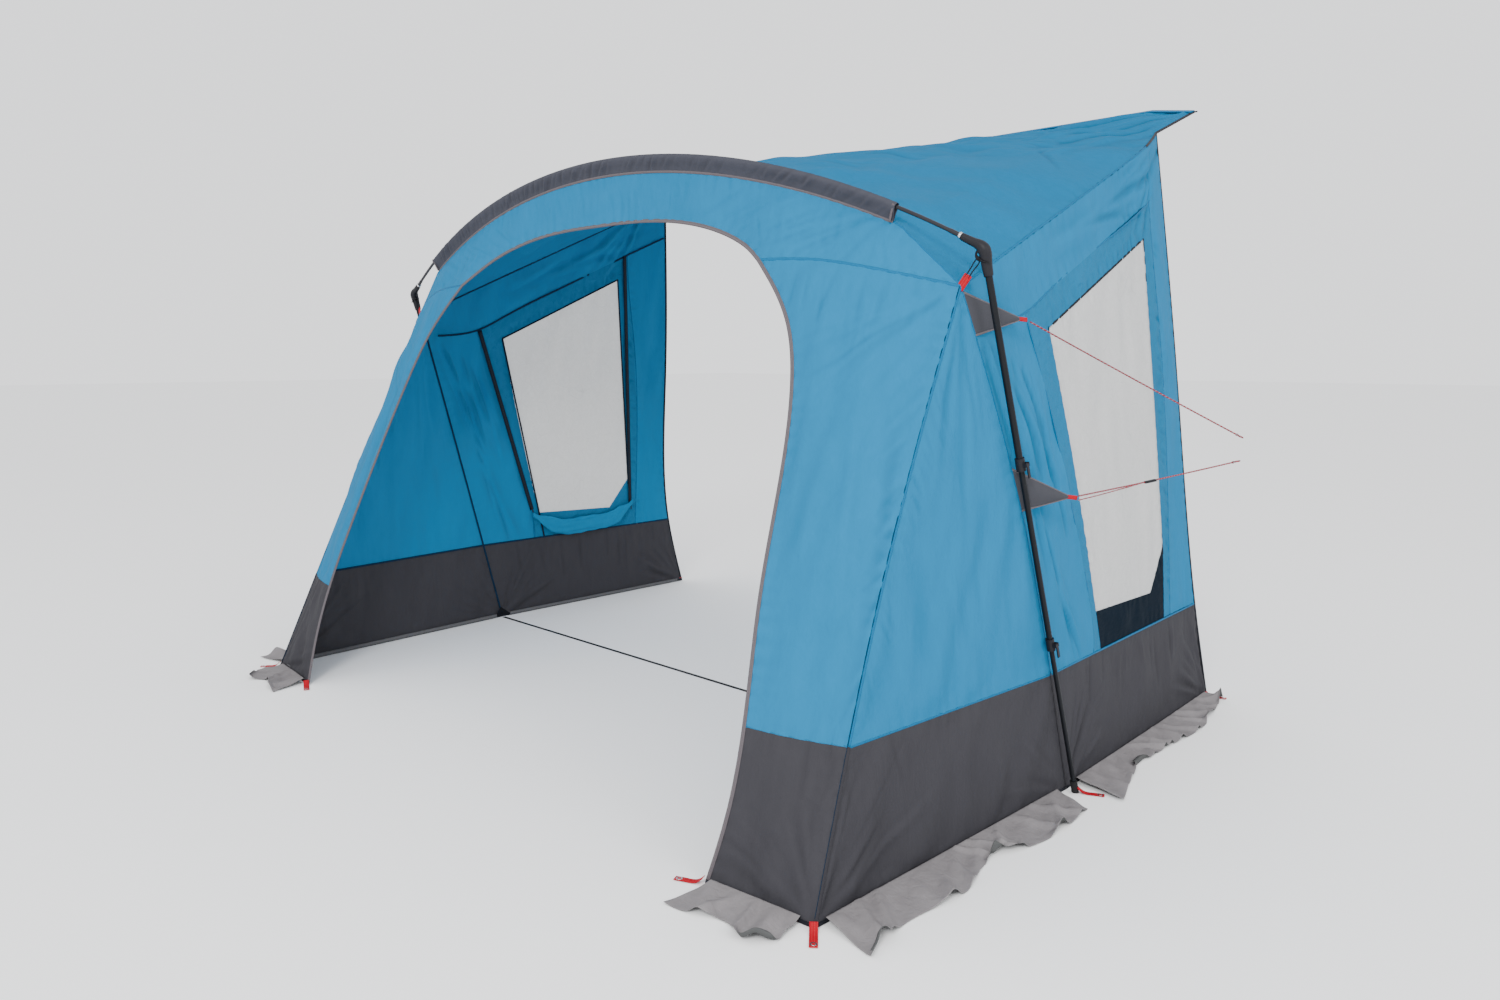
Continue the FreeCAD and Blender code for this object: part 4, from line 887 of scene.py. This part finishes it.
def make_sleeve():
    """Grey pole sleeve: goes round the pole and closes in a flat tail, with slanting wrinkles."""
    rng = np.random.default_rng(3)
    count = 760
    top = arch_line(SLEEVE_HALF_SPAN, 0.0, count)
    foot = arch_line(SLEEVE_HALF_SPAN * 0.985, SLEEVE_DROP, count)
    normal = np.array([0.0, -math.cos(ARCH_LEAN), -math.sin(ARCH_LEAN)])
    section = [
        (0.0012, 0.0), (0.0030, 0.25), (0.0062, 0.55), (0.0100, 0.80), (0.0112, 1.0), (0.0085, 1.16),
        (0.0, 1.26)
    ]
    section = spline([(a, b, 0) for a, b in section], 15)
    ring = [(a, b) for a, b, _ in section] + [(-a, b) for a, b, _ in section[-2::-1]]
    run = np.linspace(0, 2 * SLEEVE_HALF_SPAN, count)
    flat = np.stack([np.tile(run, len(ring)), np.repeat([b * 0.05 for _, b in ring], count)], axis=1)
    relief = np.zeros(len(flat))
    for _ in range(110):
        at, reach = rng.uniform(0.0, 2 * SLEEVE_HALF_SPAN), rng.uniform(0.03, 0.09)
        weight = (1.0 if at > SLEEVE_HALF_SPAN else 0.7) * rng.choice([1, 1, -0.6])
        relief += crease(
            flat, (at, -0.005), (at - reach, 0.066), weight * rng.uniform(0.0040, 0.0090), 0.0075
        )
    relief = relief.reshape(len(ring), count)
    grid = np.zeros((count, len(ring), 3))
    for j, (across, rise) in enumerate(ring):
        bulge = np.clip(relief[j], -0.0008, 0.0065) * (
            1.0 if j < len(ring) / 2 else -1.0
        ) * min(1.0, 0.3 + 2 * rise)
        grid[:, j] = foot + (top - foot) * rise + normal * (across + bulge)[:, None]
    # Painted shade: the sleeve's colour darkens in its wrinkles by this share.
    furrow = np.clip(-relief.T / 0.0030, 0, 1).ravel()
    bm = grid_bmesh(grid.reshape(-1, 3), count, len(ring), (0, -0.5, 1), furrow)
    add_cloth("pole_sleeve_cloth", bm, MATERIALS["sleeve"],
              ["pole_sleeve"])
    binding = sweep(bmesh.new(), foot + normal * 0.0022, normal, flat_profile(0.010, 0.0032))
    for side in SIDES.values():
        end = 2 if side > 0 else -3
        line = straight(foot[end], top[end] + (top[end] - foot[end]) * 0.2, 12) + normal * 0.0105
        sweep(binding, line, normal, flat_profile(0.008, 0.0030))
    add_object("sleeve_binding", binding, MATERIALS["binding"])


# ---------------------------------------------------------------- seams and hems
def split_at_mudwall(line):
    """The part of an upward line below the mudwall's top, and the part above."""
    grey = line[line[:, 2] <= MUDWALL + 0.006]
    blue = line[line[:, 2] >= MUDWALL - 0.006]
    return grey, blue


def mudwall_line(first, second, count):
    """Level line at the mudwall's top between two edges."""
    ends = [[np.interp(MUDWALL, e[:, 2], e[:, k]) for k in range(3)] for e in (first, second)]
    return straight(ends[0], ends[1], count)


def make_seams():
    """Felled seams outside, and the edges of their seam allowances inside, near-black as painted shade."""
    strips = {"seam_blue": bmesh.new(), "seam_grey": bmesh.new(), "seam_inside": bmesh.new()}
    seam, narrow, inner = flat_profile(0.010, 0.0034), flat_profile(0.007, 0.0030), flat_profile(
        0.010, 0.0030, -0.0034
    )
    for side in SIDES.values():
        out, front, outward = np.array([side, -0.4, 0.15]), np.array(
            [0.1 * side, -1, 0.25]
        ), np.array([side, 0.05, 0.1])
        ridge, pole = flip(front_ridge(150), side), flip(pole_seam(150), side)
        for line, face in ((ridge, out), (pole, outward)):
            grey, blue = split_at_mudwall(line)
            sweep(strips["seam_grey"], grey, face, seam)
            sweep(strips["seam_blue"], blue, face, narrow)
            sweep(strips["seam_inside"], line[2:], face, inner)
        door, rear = flip(door_jamb(150), side), flip(rear_edge(150), side)
        for a, b, face in ((door, ridge, front), (ridge, pole, outward), (pole, rear, outward)):
            sweep(strips["seam_blue"], mudwall_line(a, b, 80), face, narrow)
            sweep(strips["seam_inside"], mudwall_line(a, b, 80), face, inner)
        sweep(strips["seam_blue"], flip(front_seam(90), side), front, seam)
        for line in (TOP_SEAM, BAND_SEAM, FRONT_BAND_SEAM):
            sweep(strips["seam_blue"], wall_line(side, line, 120), outward, narrow)
        sweep(strips["seam_inside"], wall_line(side, TOP_SEAM, 120), outward, inner)
        edge = flip(roof_side(160), side)[:130]
        sweep(strips["seam_blue"], edge, np.array([side, 0, 0.8]), flat_profile(0.006, 0.0030))
        sweep(strips["seam_inside"], edge, np.array([side, 0, 0.8]), inner)
    sweep(strips["seam_blue"], roof_front(240), np.array([0, -1.0, 0.3]), narrow)
    for key, bm in strips.items():
        made = add_object(key, bm, MATERIALS[key])


def make_door_binding():
    """Grey binding folded over the doorway's edge, from the ground to the ground."""
    right = door_jamb(150)
    path = even(np.concatenate([right, door_head(170)[1:-1], flip(right[::-1], -1)]), 520)
    centre = np.array([0.0, -0.9, 0.9])
    normal = np.cross(np.gradient(path, axis=0), path - centre)
    bm = sweep(bmesh.new(), path, normal, flat_profile(0.015, 0.0042))
    made = add_object("door_binding_tape", bm, MATERIALS["binding"])
    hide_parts("door_binding")


def make_hems():
    """Dark hems on the open edges, tape inside the wall's foot, piping under the roof's corners."""
    dark, grey, roof, tape, patches = bmesh.new(), bmesh.new(), bmesh.new(), bmesh.new(), []
    for side in SIDES.values():
        outward = np.array([side, 0.05, 0.1])
        sweep(dark, flip(rear_edge(200), side), outward, flat_profile(0.014, 0.0040))
        outline = WINDOW + WINDOW[:1]
        for k, ((y0, z0), (y1, z1)) in enumerate(zip(outline, outline[1:])):
            line = straight(wall_spot(side, y0, z0), wall_spot(side, y1, z1), 50)
            if k in (0, 1, 4):
                sweep(dark, line, outward, flat_profile(0.009, 0.0046, -0.0014))
        ends = [JAMB_FOOT, FRONT_CORNER, SEAM_FOOT, REAR_CORNER]
        for a, b in zip(ends, ends[1:]):
            out = unit(np.cross(flip(b - a, side), (0, 0, side)))
            line = straight(flip(a, side), flip(b, side), 90)
            sweep(dark, line + [0, 0, 0.0065], out, flat_profile(0.011, 0.0050))
            sweep(tape, line[3:-3] + [0, 0, 0.014] - out * 0.0105, out, flat_profile(0.020, 0.0020))
        inner = flip(SEAM_FOOT - [0.008, 0, -0.012], side)
        low = straight(inner - [0, 0.050, 0], inner + [0, 0.050, 0], 24)
        peak = inner + (flip(SHOULDER, side) - inner) * 0.030
        patch = ruled(low, low * 0.04 + peak * 0.96, 14)
        patches.append(grid_bmesh(patch.reshape(-1, 3), 24, 14, (side, 0, 0)))
        edge = flip(roof_side(160), side)[118:]
        sweep(grey, edge, np.array([side, 0, 0.6]), flat_profile(0.010, 0.0040))
    line = rear_line(260) + [0, -0.010, 0.0005]
    sweep(roof, line, np.array([0, -0.4, 1.0]), flat_profile(0.034, 0.0040))
    for name, bm, key, slot in (
        ("edge_hems", dark, "hem_black", "black_webbing"),
        ("foot_tape", tape, "foot_tape", "skirt_fabric"),
        ("foot_patches", joined(*patches), "hem_black", "black_webbing"),
        ("roof_corner_piping", grey, "seam_grey", "grey_fabric"),
        ("roof_rear_hem", roof, "seam_blue", "blue_fabric"),
    ):
        add_object(name, bm, MATERIALS[key])


# ---------------------------------------------------------------- window blinds and zips
def make_blind(side_name, side):
    """Window blind let down inside: bunched cloth that sags between the zips' lower ends."""
    rng = np.random.default_rng(31 if side > 0 else 37)
    count, around = 150, 36
    path = wall_line(
        side, [(0.235, 0.580), (0.40, 0.500), (0.62, 0.484), (0.83, 0.505), (0.965, 0.590)], count, 0.022
    )
    run = np.linspace(0, 1, count)
    grid = np.zeros((count, around, 3))
    inside = np.array([-side, 0.0, 0.0])
    phases = rng.uniform(0, 6.3, 4)
    slim = np.clip(np.minimum(run, 1 - run) * 6, 0.3, 1.0)
    for j in range(around):
        turn = 2 * math.pi * j / (around - 1)
        fold = 1 + 0.10 * np.sin(3 * turn + run * 7 + phases[0]) + 0.09 * np.sin(
            6 * turn - run * 13 + phases[1]
        )
        fold = (fold + 0.04 * np.sin(run * 50 + 2 * turn + phases[2])) * slim
        rise = np.outer(fold * math.sin(turn) * 0.044, (0, 0, 1))
        grid[:, j] = path + np.outer(fold * math.cos(turn) * 0.014, inside) + rise
    bm = grid_bmesh(grid.reshape(-1, 3), count, around, (0, 0, 1))
    add_cloth(
        f"window_blind_cloth_{side_name}", bm, MATERIALS["blind"],
        [f"window_blind_{side_name}"], thickness=0.001,
    )


def make_zips():
    """Zip tapes with teeth beside both windows, on the inside."""
    tapes, teeth = bmesh.new(), bmesh.new()
    for side in SIDES.values():
        inside = np.array([-side, 0.0, 0.0])
        outline = WINDOW[-1:] + WINDOW[:4]
        for (y0, z0), (y1, z1) in zip(outline, outline[1:4]):
            line = straight(wall_spot(side, y0, z0, 0.0035), wall_spot(side, y1, z1, 0.0035), 50)
            sweep(tapes, line, inside, flat_profile(0.008, 0.0020))
        for y0, z0, y1, z1 in ZIPS.values():
            low, high = wall_spot(side, y0, z0, 0.0059), wall_spot(side, y1, z1, 0.0059)
            length = np.linalg.norm(high - low)
            line = straight(low, high, 60)
            sweep(tapes, line, inside, flat_profile(0.026, 0.0016))
            way = (high - low) / length
            across = np.cross(way, inside)
            for k in range(int(length / TOOTH_PITCH)):
                spot = low + way * (TOOTH_PITCH * k + 0.003) + inside * 0.0006 + across * (
                    0.0012 if k % 2 else -0.0012
                )
                frame_of = Matrix((way, across, inside)).transposed().to_4x4()
                size = Matrix.Diagonal((0.0034, 0.0062, 0.0016, 1))
                bmesh.ops.create_cube(teeth, size=1.0, matrix=Matrix.Translation(spot) @ frame_of @ size)
    made = add_object("window_zip_tapes", tapes, MATERIALS["zip"])
    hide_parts("window_zips")
    add_object("window_zip_teeth", teeth, MATERIALS["plastic"], smooth=False)


# ---------------------------------------------------------------- ground skirts
SKIRTS = {
    # name: (inner line on the wall's foot, outer line) on the right side
    "front": ([(1.345, -1.286), (1.50, -1.270), (1.655, -1.256)],
              [(1.315, -1.440), (1.40, -1.428), (1.53, -1.398), (1.60, -1.446), (1.672, -1.370)]),
    "side": ([(1.708, -1.215), (1.735, -0.60), (1.757, -0.03)],
             [
                 (1.915, -1.262), (1.86, -1.06), (1.885, -0.79), (1.84, -0.62), (1.88, -0.45),
                 (1.90, -0.24), (1.885, -0.06)
             ]),
    "rear": ([(1.757, 0.11), (1.745, 0.75), (1.728, 1.38)],
             [(1.948, 0.075), (1.862, 0.40), (1.858, 0.70), (1.872, 0.98), (1.845, 1.16), (1.79, 1.44)]),
}


def ground(points):
    return [(x, y, 0.0) for x, y in points]


def make_skirt(side_name, side):
    """Ground skirts of one side: limp strips on the ground with broad folds and a few curled edges."""
    rng = np.random.default_rng(41 if side > 0 else 47)
    parts = []
    for inner, outer in SKIRTS.values():
        count, columns = (260 if len(outer) > 5 else 110), 44
        a, b = spline(ground(inner), count), spline(ground(outer), count)
        grid = flip(ruled(a, b, columns), side)
        length = np.linalg.norm(np.diff(b, axis=0), axis=1).sum()
        run, share = np.linspace(0, length, count)[:, None], np.linspace(0, 1, columns)[None, :]
        rise = np.zeros((count, columns))
        at = 0.02
        while at < length:
            lean, width = rng.uniform(-0.14, 0.14), rng.uniform(0.012, 0.030)
            peak, reach = rng.uniform(0.007, 0.024), rng.choice([0.35, 0.5, 0.8])
            rise += peak * np.exp(-(((run - at - lean * share) / width) ** 2)) * share**reach
            at += rng.uniform(0.045, 0.15)
        for _ in range(3):
            wave, phase, lean = rng.uniform(0.10, 0.3), rng.uniform(0, 6.3), rng.uniform(-1.5, 1.5)
            rise += 0.004 * (
                1 + np.sin((run + lean * share * 0.17) * 2 * math.pi / wave + phase)
            ) * share * (1.3 - share)
        grid[..., 2] = 0.0014 + rise + 0.022 * (1 - share) ** 2.5
        curl = np.clip(
            np.sin(run * 8 + phase) + np.sin(run * 19 + 1.0) - 0.75, 0, 1
        ) * np.clip((share - 0.86) / 0.14, 0, 1)
        back = units(grid[:, :1] - grid[:, -1:])
        grid += back * (0.030 * curl**2)[..., None]
        grid[..., 2] += 0.016 * np.sin(curl * math.pi * 0.8)
        # Painted shade: the low parts between the raised folds take a darker colour.
        furrow = np.clip(0.5 - rise / 0.012, 0, 0.35).ravel()
        parts.append(grid_bmesh(grid.reshape(-1, 3), count, columns, (0, 0, 1), furrow))
    made = add_cloth(
        f"skirt_cloth_{side_name}", joined(*parts), MATERIALS["skirt"],
        [f"skirt_{side_name}"],
    )
    # The underside shell takes the dark grey: painted shadow under the curled edges.
    made.data.materials.append(MATERIALS["skirt_under_shade"])
    made.modifiers["Thickness"].material_offset = 1


# ---------------------------------------------------------------- webbing, tabs and elastic
PEG_POINTS = {
    "jamb": (1.306, -1.294, -0.92, -0.39),
    "corner": (1.706, -1.262, 0.64, -0.77),
    "foot": (1.808, 0.044, 1.0, 0.45),
    "rear": (1.733, 1.412, 1.0, 0.1),
}


def make_peg_loops():
    """Red webbing loops: a doubled tape that holds an eyelet near its end."""
    bm = bmesh.new()
    for side in SIDES.values():
        for x, y, out_x, out_y in PEG_POINTS.values():
            way = unit(np.array([side * out_x, out_y, 0.0]))
            root = np.array([side * x, y, 0.0]) - way * 0.012
            line = [
                root + [0, 0, 0.022], root + way * 0.012 + [0, 0, 0.011], root + way * 0.03 + [0, 0, 0.0036]
            ]
            line += [root + way * 0.052 + [0, 0, 0.0030], root + way * 0.090 + [0, 0, 0.0030]]
            sweep(bm, spline(line, 24), (0, 0, 1), flat_profile(0.024, 0.0022))
    made = add_object("peg_webbing", bm, MATERIALS["red"])
    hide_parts("peg_loops")


def seam_spot(height):
    line = pole_seam(300)
    return line[np.argmin(np.abs(line[:, 2] - height))]


GUY_TABS = {"upper": (1.690, 1.560, (1.668, -0.225, 1.612)), "lower": (1.145, 1.005, (1.792, -0.092, 1.045))}
GUY_ROUTES = {
    "upper": [(1.686, -0.204, 1.604), (1.905, 0.096, 1.418), (2.128, 0.402, 1.237)],
    "lower": [(1.808, -0.072, 1.048), (1.968, 0.156, 1.093), (2.128, 0.384, 1.147)],
}


def make_guy_tabs():
    """Grey triangles sewn into the pole seam, hemmed, with red webbing at their tips."""
    sheets, hems, reds = [], bmesh.new(), bmesh.new()
    for side in SIDES.values():
        for high, low, tip in GUY_TABS.values():
            a, b = flip(seam_spot(high), side), flip(seam_spot(low), side)
            tip = flip(np.array(tip), side)
            count = 26
            grid = ruled(straight(a, tip, count), straight(b, tip, count), 16)
            share = np.linspace(0, 1, count)[:, None]
            across = np.linspace(-1, 1, 16)[None, :]
            normal = unit(np.cross(b - a, tip - a))
            sag = 0.010 * np.sin(share * math.pi) * (1 - across**2)
            grid = grid + normal * sag[..., None]
            sheets.append(grid_bmesh(grid.reshape(-1, 3), count, 16, normal))
            for line in (grid[:, 0], grid[:, -1]):
                sweep(hems, line, normal, flat_profile(0.007, 0.003))
            reach = unit(tip - (a + b) / 2)
            sweep(
                reds, straight(tip - reach * 0.012, tip + reach * 0.024, 10), normal,
                flat_profile(0.014, 0.004)
            )
    bm = joined(*sheets)
    add_cloth(
        "guy_tab_cloth", bm, MATERIALS["tab"], ["guy_tabs"],
        thickness=0.0018
    )
    add_object("guy_tab_hems", hems, MATERIALS["binding"])
    make_shoulder_tabs(reds)


def lug_direction(side):
    """Direction in the arch plane from an elbow towards the shoulder."""
    normal = np.array([0.0, -math.cos(ARCH_LEAN), -math.sin(ARCH_LEAN)])
    way = flip(SHOULDER - ELBOW, side)
    way = way - normal * (way @ normal)
    return unit(way), normal


def make_shoulder_tabs(reds):
    """Red tabs at the shoulders, tied to the elbows with black elastic that ends in a knot."""
    elastic = bmesh.new()
    for side in SIDES.values():
        way, normal = lug_direction(side)
        elbow, shoulder = flip(ELBOW, side), flip(SHOULDER, side)
        tie = elbow + way * 0.040
        reach = tie - shoulder
        eye = shoulder + reach * 0.42
        sweep(
            reds, spline([shoulder - reach * 0.12, shoulder + reach * 0.15, eye], 12), normal,
            flat_profile(0.026, 0.0036)
        )
        for offset in (-0.006, 0.006):
            across = np.cross(way, normal) * offset
            line = spline(
                [
                    eye - reach * 0.1 + across, eye + reach * 0.25 + across, tie + across * 0.6,
                    tie + way * -0.004
                ],
                16
            )
            sweep(elastic, line, normal, round_profile(0.0021))
        knot = tie - way * 0.010 + normal * 0.008
        turns = np.linspace(0, 4 * math.pi, 40)
        across = np.cross(way, normal)
        coil = np.array(
            [
                knot + (
                    across * math.cos(t) + normal * math.sin(t)
                ) * 0.0052 + way * (t * 0.00055) for t in turns
            ]
        )
        sweep(elastic, coil, way, round_profile(0.0021))
        for k, lean in enumerate((-0.8, -0.1, 0.6)):
            end = knot - across * side * (0.034 + 0.006 * k) + normal * 0.014 * lean + np.array(
                [0, 0, 0.012 * lean]
            )
            mid = knot - across * side * 0.016 + normal * 0.012
            sweep(elastic, spline([knot, mid, end], 12), way, round_profile(0.0017))
    made = add_object("red_webbing_tabs", reds, MATERIALS["red"])
    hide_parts("red_tabs")
    made = add_object("elbow_elastic_ties", elastic, MATERIALS["elastic"])
    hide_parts("elbow_elastics")


def make_elbows():
    """Moulded elbows between rod and leg, thick at the bend, with a D-loop and a bright collar."""
    collars = bmesh.new()
    for side_name, side in SIDES.items():
        way, normal = lug_direction(side)
        elbow, foot = flip(ELBOW, side), flip(FOOT, side)
        inside_elbow = arch_point(math.asin((ARCH_HALF_SPAN - 0.04) / ARCH_RADIUS), ARCH_RADIUS)
        rod, down = unit(flip(inside_elbow, side) - elbow), unit(foot - elbow)
        path = spline(
            [
                elbow + rod * 0.082, elbow + rod * 0.040, elbow + (rod + down) * 0.004,
                elbow + down * 0.045, elbow + down * 0.086
            ],
            40
        )
        radii = np.interp(
            np.linspace(0, 1, 40), [0, 0.04, 0.3, 0.52, 0.75, 0.96, 1],
            [0.0100, 0.0118, 0.0135, 0.0200, 0.0168, 0.0150, 0.0138]
        )
        across = np.cross(units(np.gradient(path, axis=0)), normal)
        turns = np.linspace(0, 2 * math.pi, 25)
        grid = path[:, None] + radii[:, None, None] * (
            across[:, None] * np.cos(turns)[None, :, None] + normal * np.sin(turns)[None, :, None]
        )
        shell = grid_bmesh(grid.reshape(-1, 3), 40, 25, (0, 0, 1))
        bmesh.ops.recalc_face_normals(shell, faces=shell.faces)
        bmesh.ops.holes_fill(shell, edges=shell.edges, sides=40)
        centre = elbow + way * 0.026
        ring = np.array(
            [
                centre + way * math.cos(t) * 0.017 + np.cross(way, normal) * math.sin(t) * 0.015
                for t in turns
            ]
        )
        sweep(shell, ring, normal, round_profile(0.0038), caps=False)
        made = add_object(f"elbow_cover_{side_name}", shell, MATERIALS["plastic"])
        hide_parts(f"elbow_{side_name}")
        sweep(
            collars, straight(elbow + rod * 0.081, elbow + rod * 0.089, 4), normal,
            round_profile(0.0104, 24)
        )
    add_object("elbow_collars", collars, MATERIALS["bright"])


def make_ground_strap():
    """Black webbing across the ground, from foot to foot."""
    line = straight((-1.737, 0.04, 0.0012), (1.737, 0.04, 0.0012), 200)
    made = add_object(
        "ground_strap_webbing", sweep(bmesh.new(), line, (0, 0, 1), flat_profile(0.020, 0.0018)),
        MATERIALS["strap"]
    )
    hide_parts("ground_strap")


# ---------------------------------------------------------------- guy lines
def make_guys():
    """Guy lines: taut cords from the red webbing, out and back from the tent."""
    for side_name, side in SIDES.items():
        for level, route in GUY_ROUTES.items():
            points = [flip(np.array(p), side) for p in route]
            made = nurbs_cord(f"guy_cord_{level}_{side_name}", points)
            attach(made, "root")
            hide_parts(f"guy_line_{level}_{side_name}")
            pieces = [make_end_loop(f"guy_end_loop_{level}_{side_name}", points[-1], points[-1] - points[-2])]
            if level == "lower":
                pieces.append(make_return(f"guy_return_{side_name}", made))


def nurbs_cord(name, points):
    """Smooth cord through the control points of its route."""
    curve = bpy.data.curves.new(name, "CURVE")
    curve.dimensions = "3D"
    curve.bevel_depth = CORD_RADIUS
    curve.bevel_resolution = 4
    curve.resolution_u = 24
    curve.use_fill_caps = True
    line = curve.splines.new("NURBS")
    line.points.add(len(points) - 1)
    for knot, spot in zip(line.points, points):
        knot.co = (*spot, 1.0)
    line.order_u = 3
    line.use_endpoint_u = True
    curve.materials.append(MATERIALS["cord"])
    made = bpy.data.objects.new(name, curve)
    bpy.context.scene.collection.objects.link(made)
    return made


def cord_points(cord):
    """Points along a cord's smooth line, read from its NURBS spline."""
    bare = cord.copy()
    bare.data = cord.data.copy()
    bare.data.bevel_depth = 0.0
    mesh = bpy.data.meshes.new_from_object(bare)
    points = np.array([v.co for v in mesh.vertices])
    bpy.data.objects.remove(bare)
    bpy.data.meshes.remove(mesh)
    return points


def make_return(name, cord):
    """Second strand of a lower guy line, from its tab back up to the tensioner, just under the first."""
    line = cord_points(cord)
    run = lengths(line)
    at = np.linspace(0.0, RETURN_LENGTH, 30)
    strand = np.stack([np.interp(at, run, line[:, k]) for k in range(3)], axis=1)
    strand[:, 2] -= np.interp(at, [0.0, 0.08, 0.19, RETURN_LENGTH], [0.014, 0.0105, 0.0035, 0.0])
    made = add_object(name, sweep(bmesh.new(), strand, (0, 0, 1), round_profile(0.0018)), MATERIALS["cord"])
    return made


def make_end_loop(name, end, way):
    """Small knotted loop at a guy line's far end, for a peg."""
    way = unit(way)
    across = unit(np.cross(way, (0, 0, 1)))
    turns = np.linspace(0, 2 * math.pi, 30)
    centre = end + way * 0.012
    ring = np.array([centre - way * math.cos(t) * 0.012 + across * math.sin(t) * 0.006 for t in turns])
    bm = sweep(bmesh.new(), ring, np.cross(way, across), round_profile(0.0017), caps=False)
    knot = np.linspace(0, 4 * math.pi, 34)
    up = np.cross(way, across)
    coil = np.array(
        [
            end + way * (t * 0.0004 - 0.004) + (
                across * math.cos(t) + up * math.sin(t)
            ) * 0.0028 for t in knot
        ]
    )
    sweep(bm, coil, way, round_profile(0.0015))
    made = add_object(name, bm, MATERIALS["cord"])
    return made


# ---------------------------------------------------------------- stage, light and camera
def make_stage():
    mesh = bpy.data.meshes.new("floor")
    bm = bmesh.new()
    bmesh.ops.create_grid(bm, x_segments=1, y_segments=1, size=60)
    bm.to_mesh(mesh)
    bm.free()
    floor = bpy.data.objects.new("floor", mesh)
    bpy.context.scene.collection.objects.link(floor)
    pale = Material("PaleFloor")
    mesh.materials.append(pale.finish(pale.face((0.93, 0.93, 0.93, 1), 1.0, shine=0.0)))


def make_light():
    world = bpy.data.worlds.new("studio")
    bpy.context.scene.world = world
    world.use_nodes = True
    world.node_tree.nodes["Background"].inputs["Color"].default_value = (0.97, 0.98, 1.0, 1)
    world.node_tree.nodes["Background"].inputs["Strength"].default_value = 1.6
    for name, spot, aim, size, power in (
        ("key", (4.5, -7.5, 6.0), (0.6, 0.0, 1.0), 2.5, 620.0),
        ("side", (8.0, -1.0, 4.0), (1.0, 0.2, 1.0), 3.0, 160.0),
    ):
        light = bpy.data.lights.new(name, "AREA")
        light.size, light.energy = size, power
        lamp = bpy.data.objects.new(name, light)
        lamp.location = spot
        lamp.rotation_euler = (Vector(aim) - Vector(spot)).to_track_quat("-Z", "Y").to_euler()
        bpy.context.scene.collection.objects.link(lamp)


def make_camera():
    camera = bpy.data.cameras.new("camera")
    camera.sensor_width = 36.0
    camera.lens = 24.99
    camera.clip_end = 200.0
    made = bpy.data.objects.new("camera", camera)
    turn, down = math.radians(43.70), math.radians(7.92)
    back = Vector((math.sin(turn) * math.cos(down), -math.cos(turn) * math.cos(down), math.sin(down)))
    made.location = (3.348, -3.222, 1.5)
    made.rotation_euler = back.to_track_quat("Z", "Y").to_euler()
    bpy.context.scene.collection.objects.link(made)
    bpy.context.scene.camera = made


make_camera()
make_guys()
finish_nodes()
for side_name, side in SIDES.items():
    make_walls(side_name, side)
    make_blind(side_name, side)
    make_skirt(side_name, side)
make_roof()
make_brow()
make_sleeve()
make_seams()
make_door_binding()
make_hems()
make_zips()
make_peg_loops()
make_guy_tabs()
make_elbows()
make_ground_strap()
make_stage()
make_light()
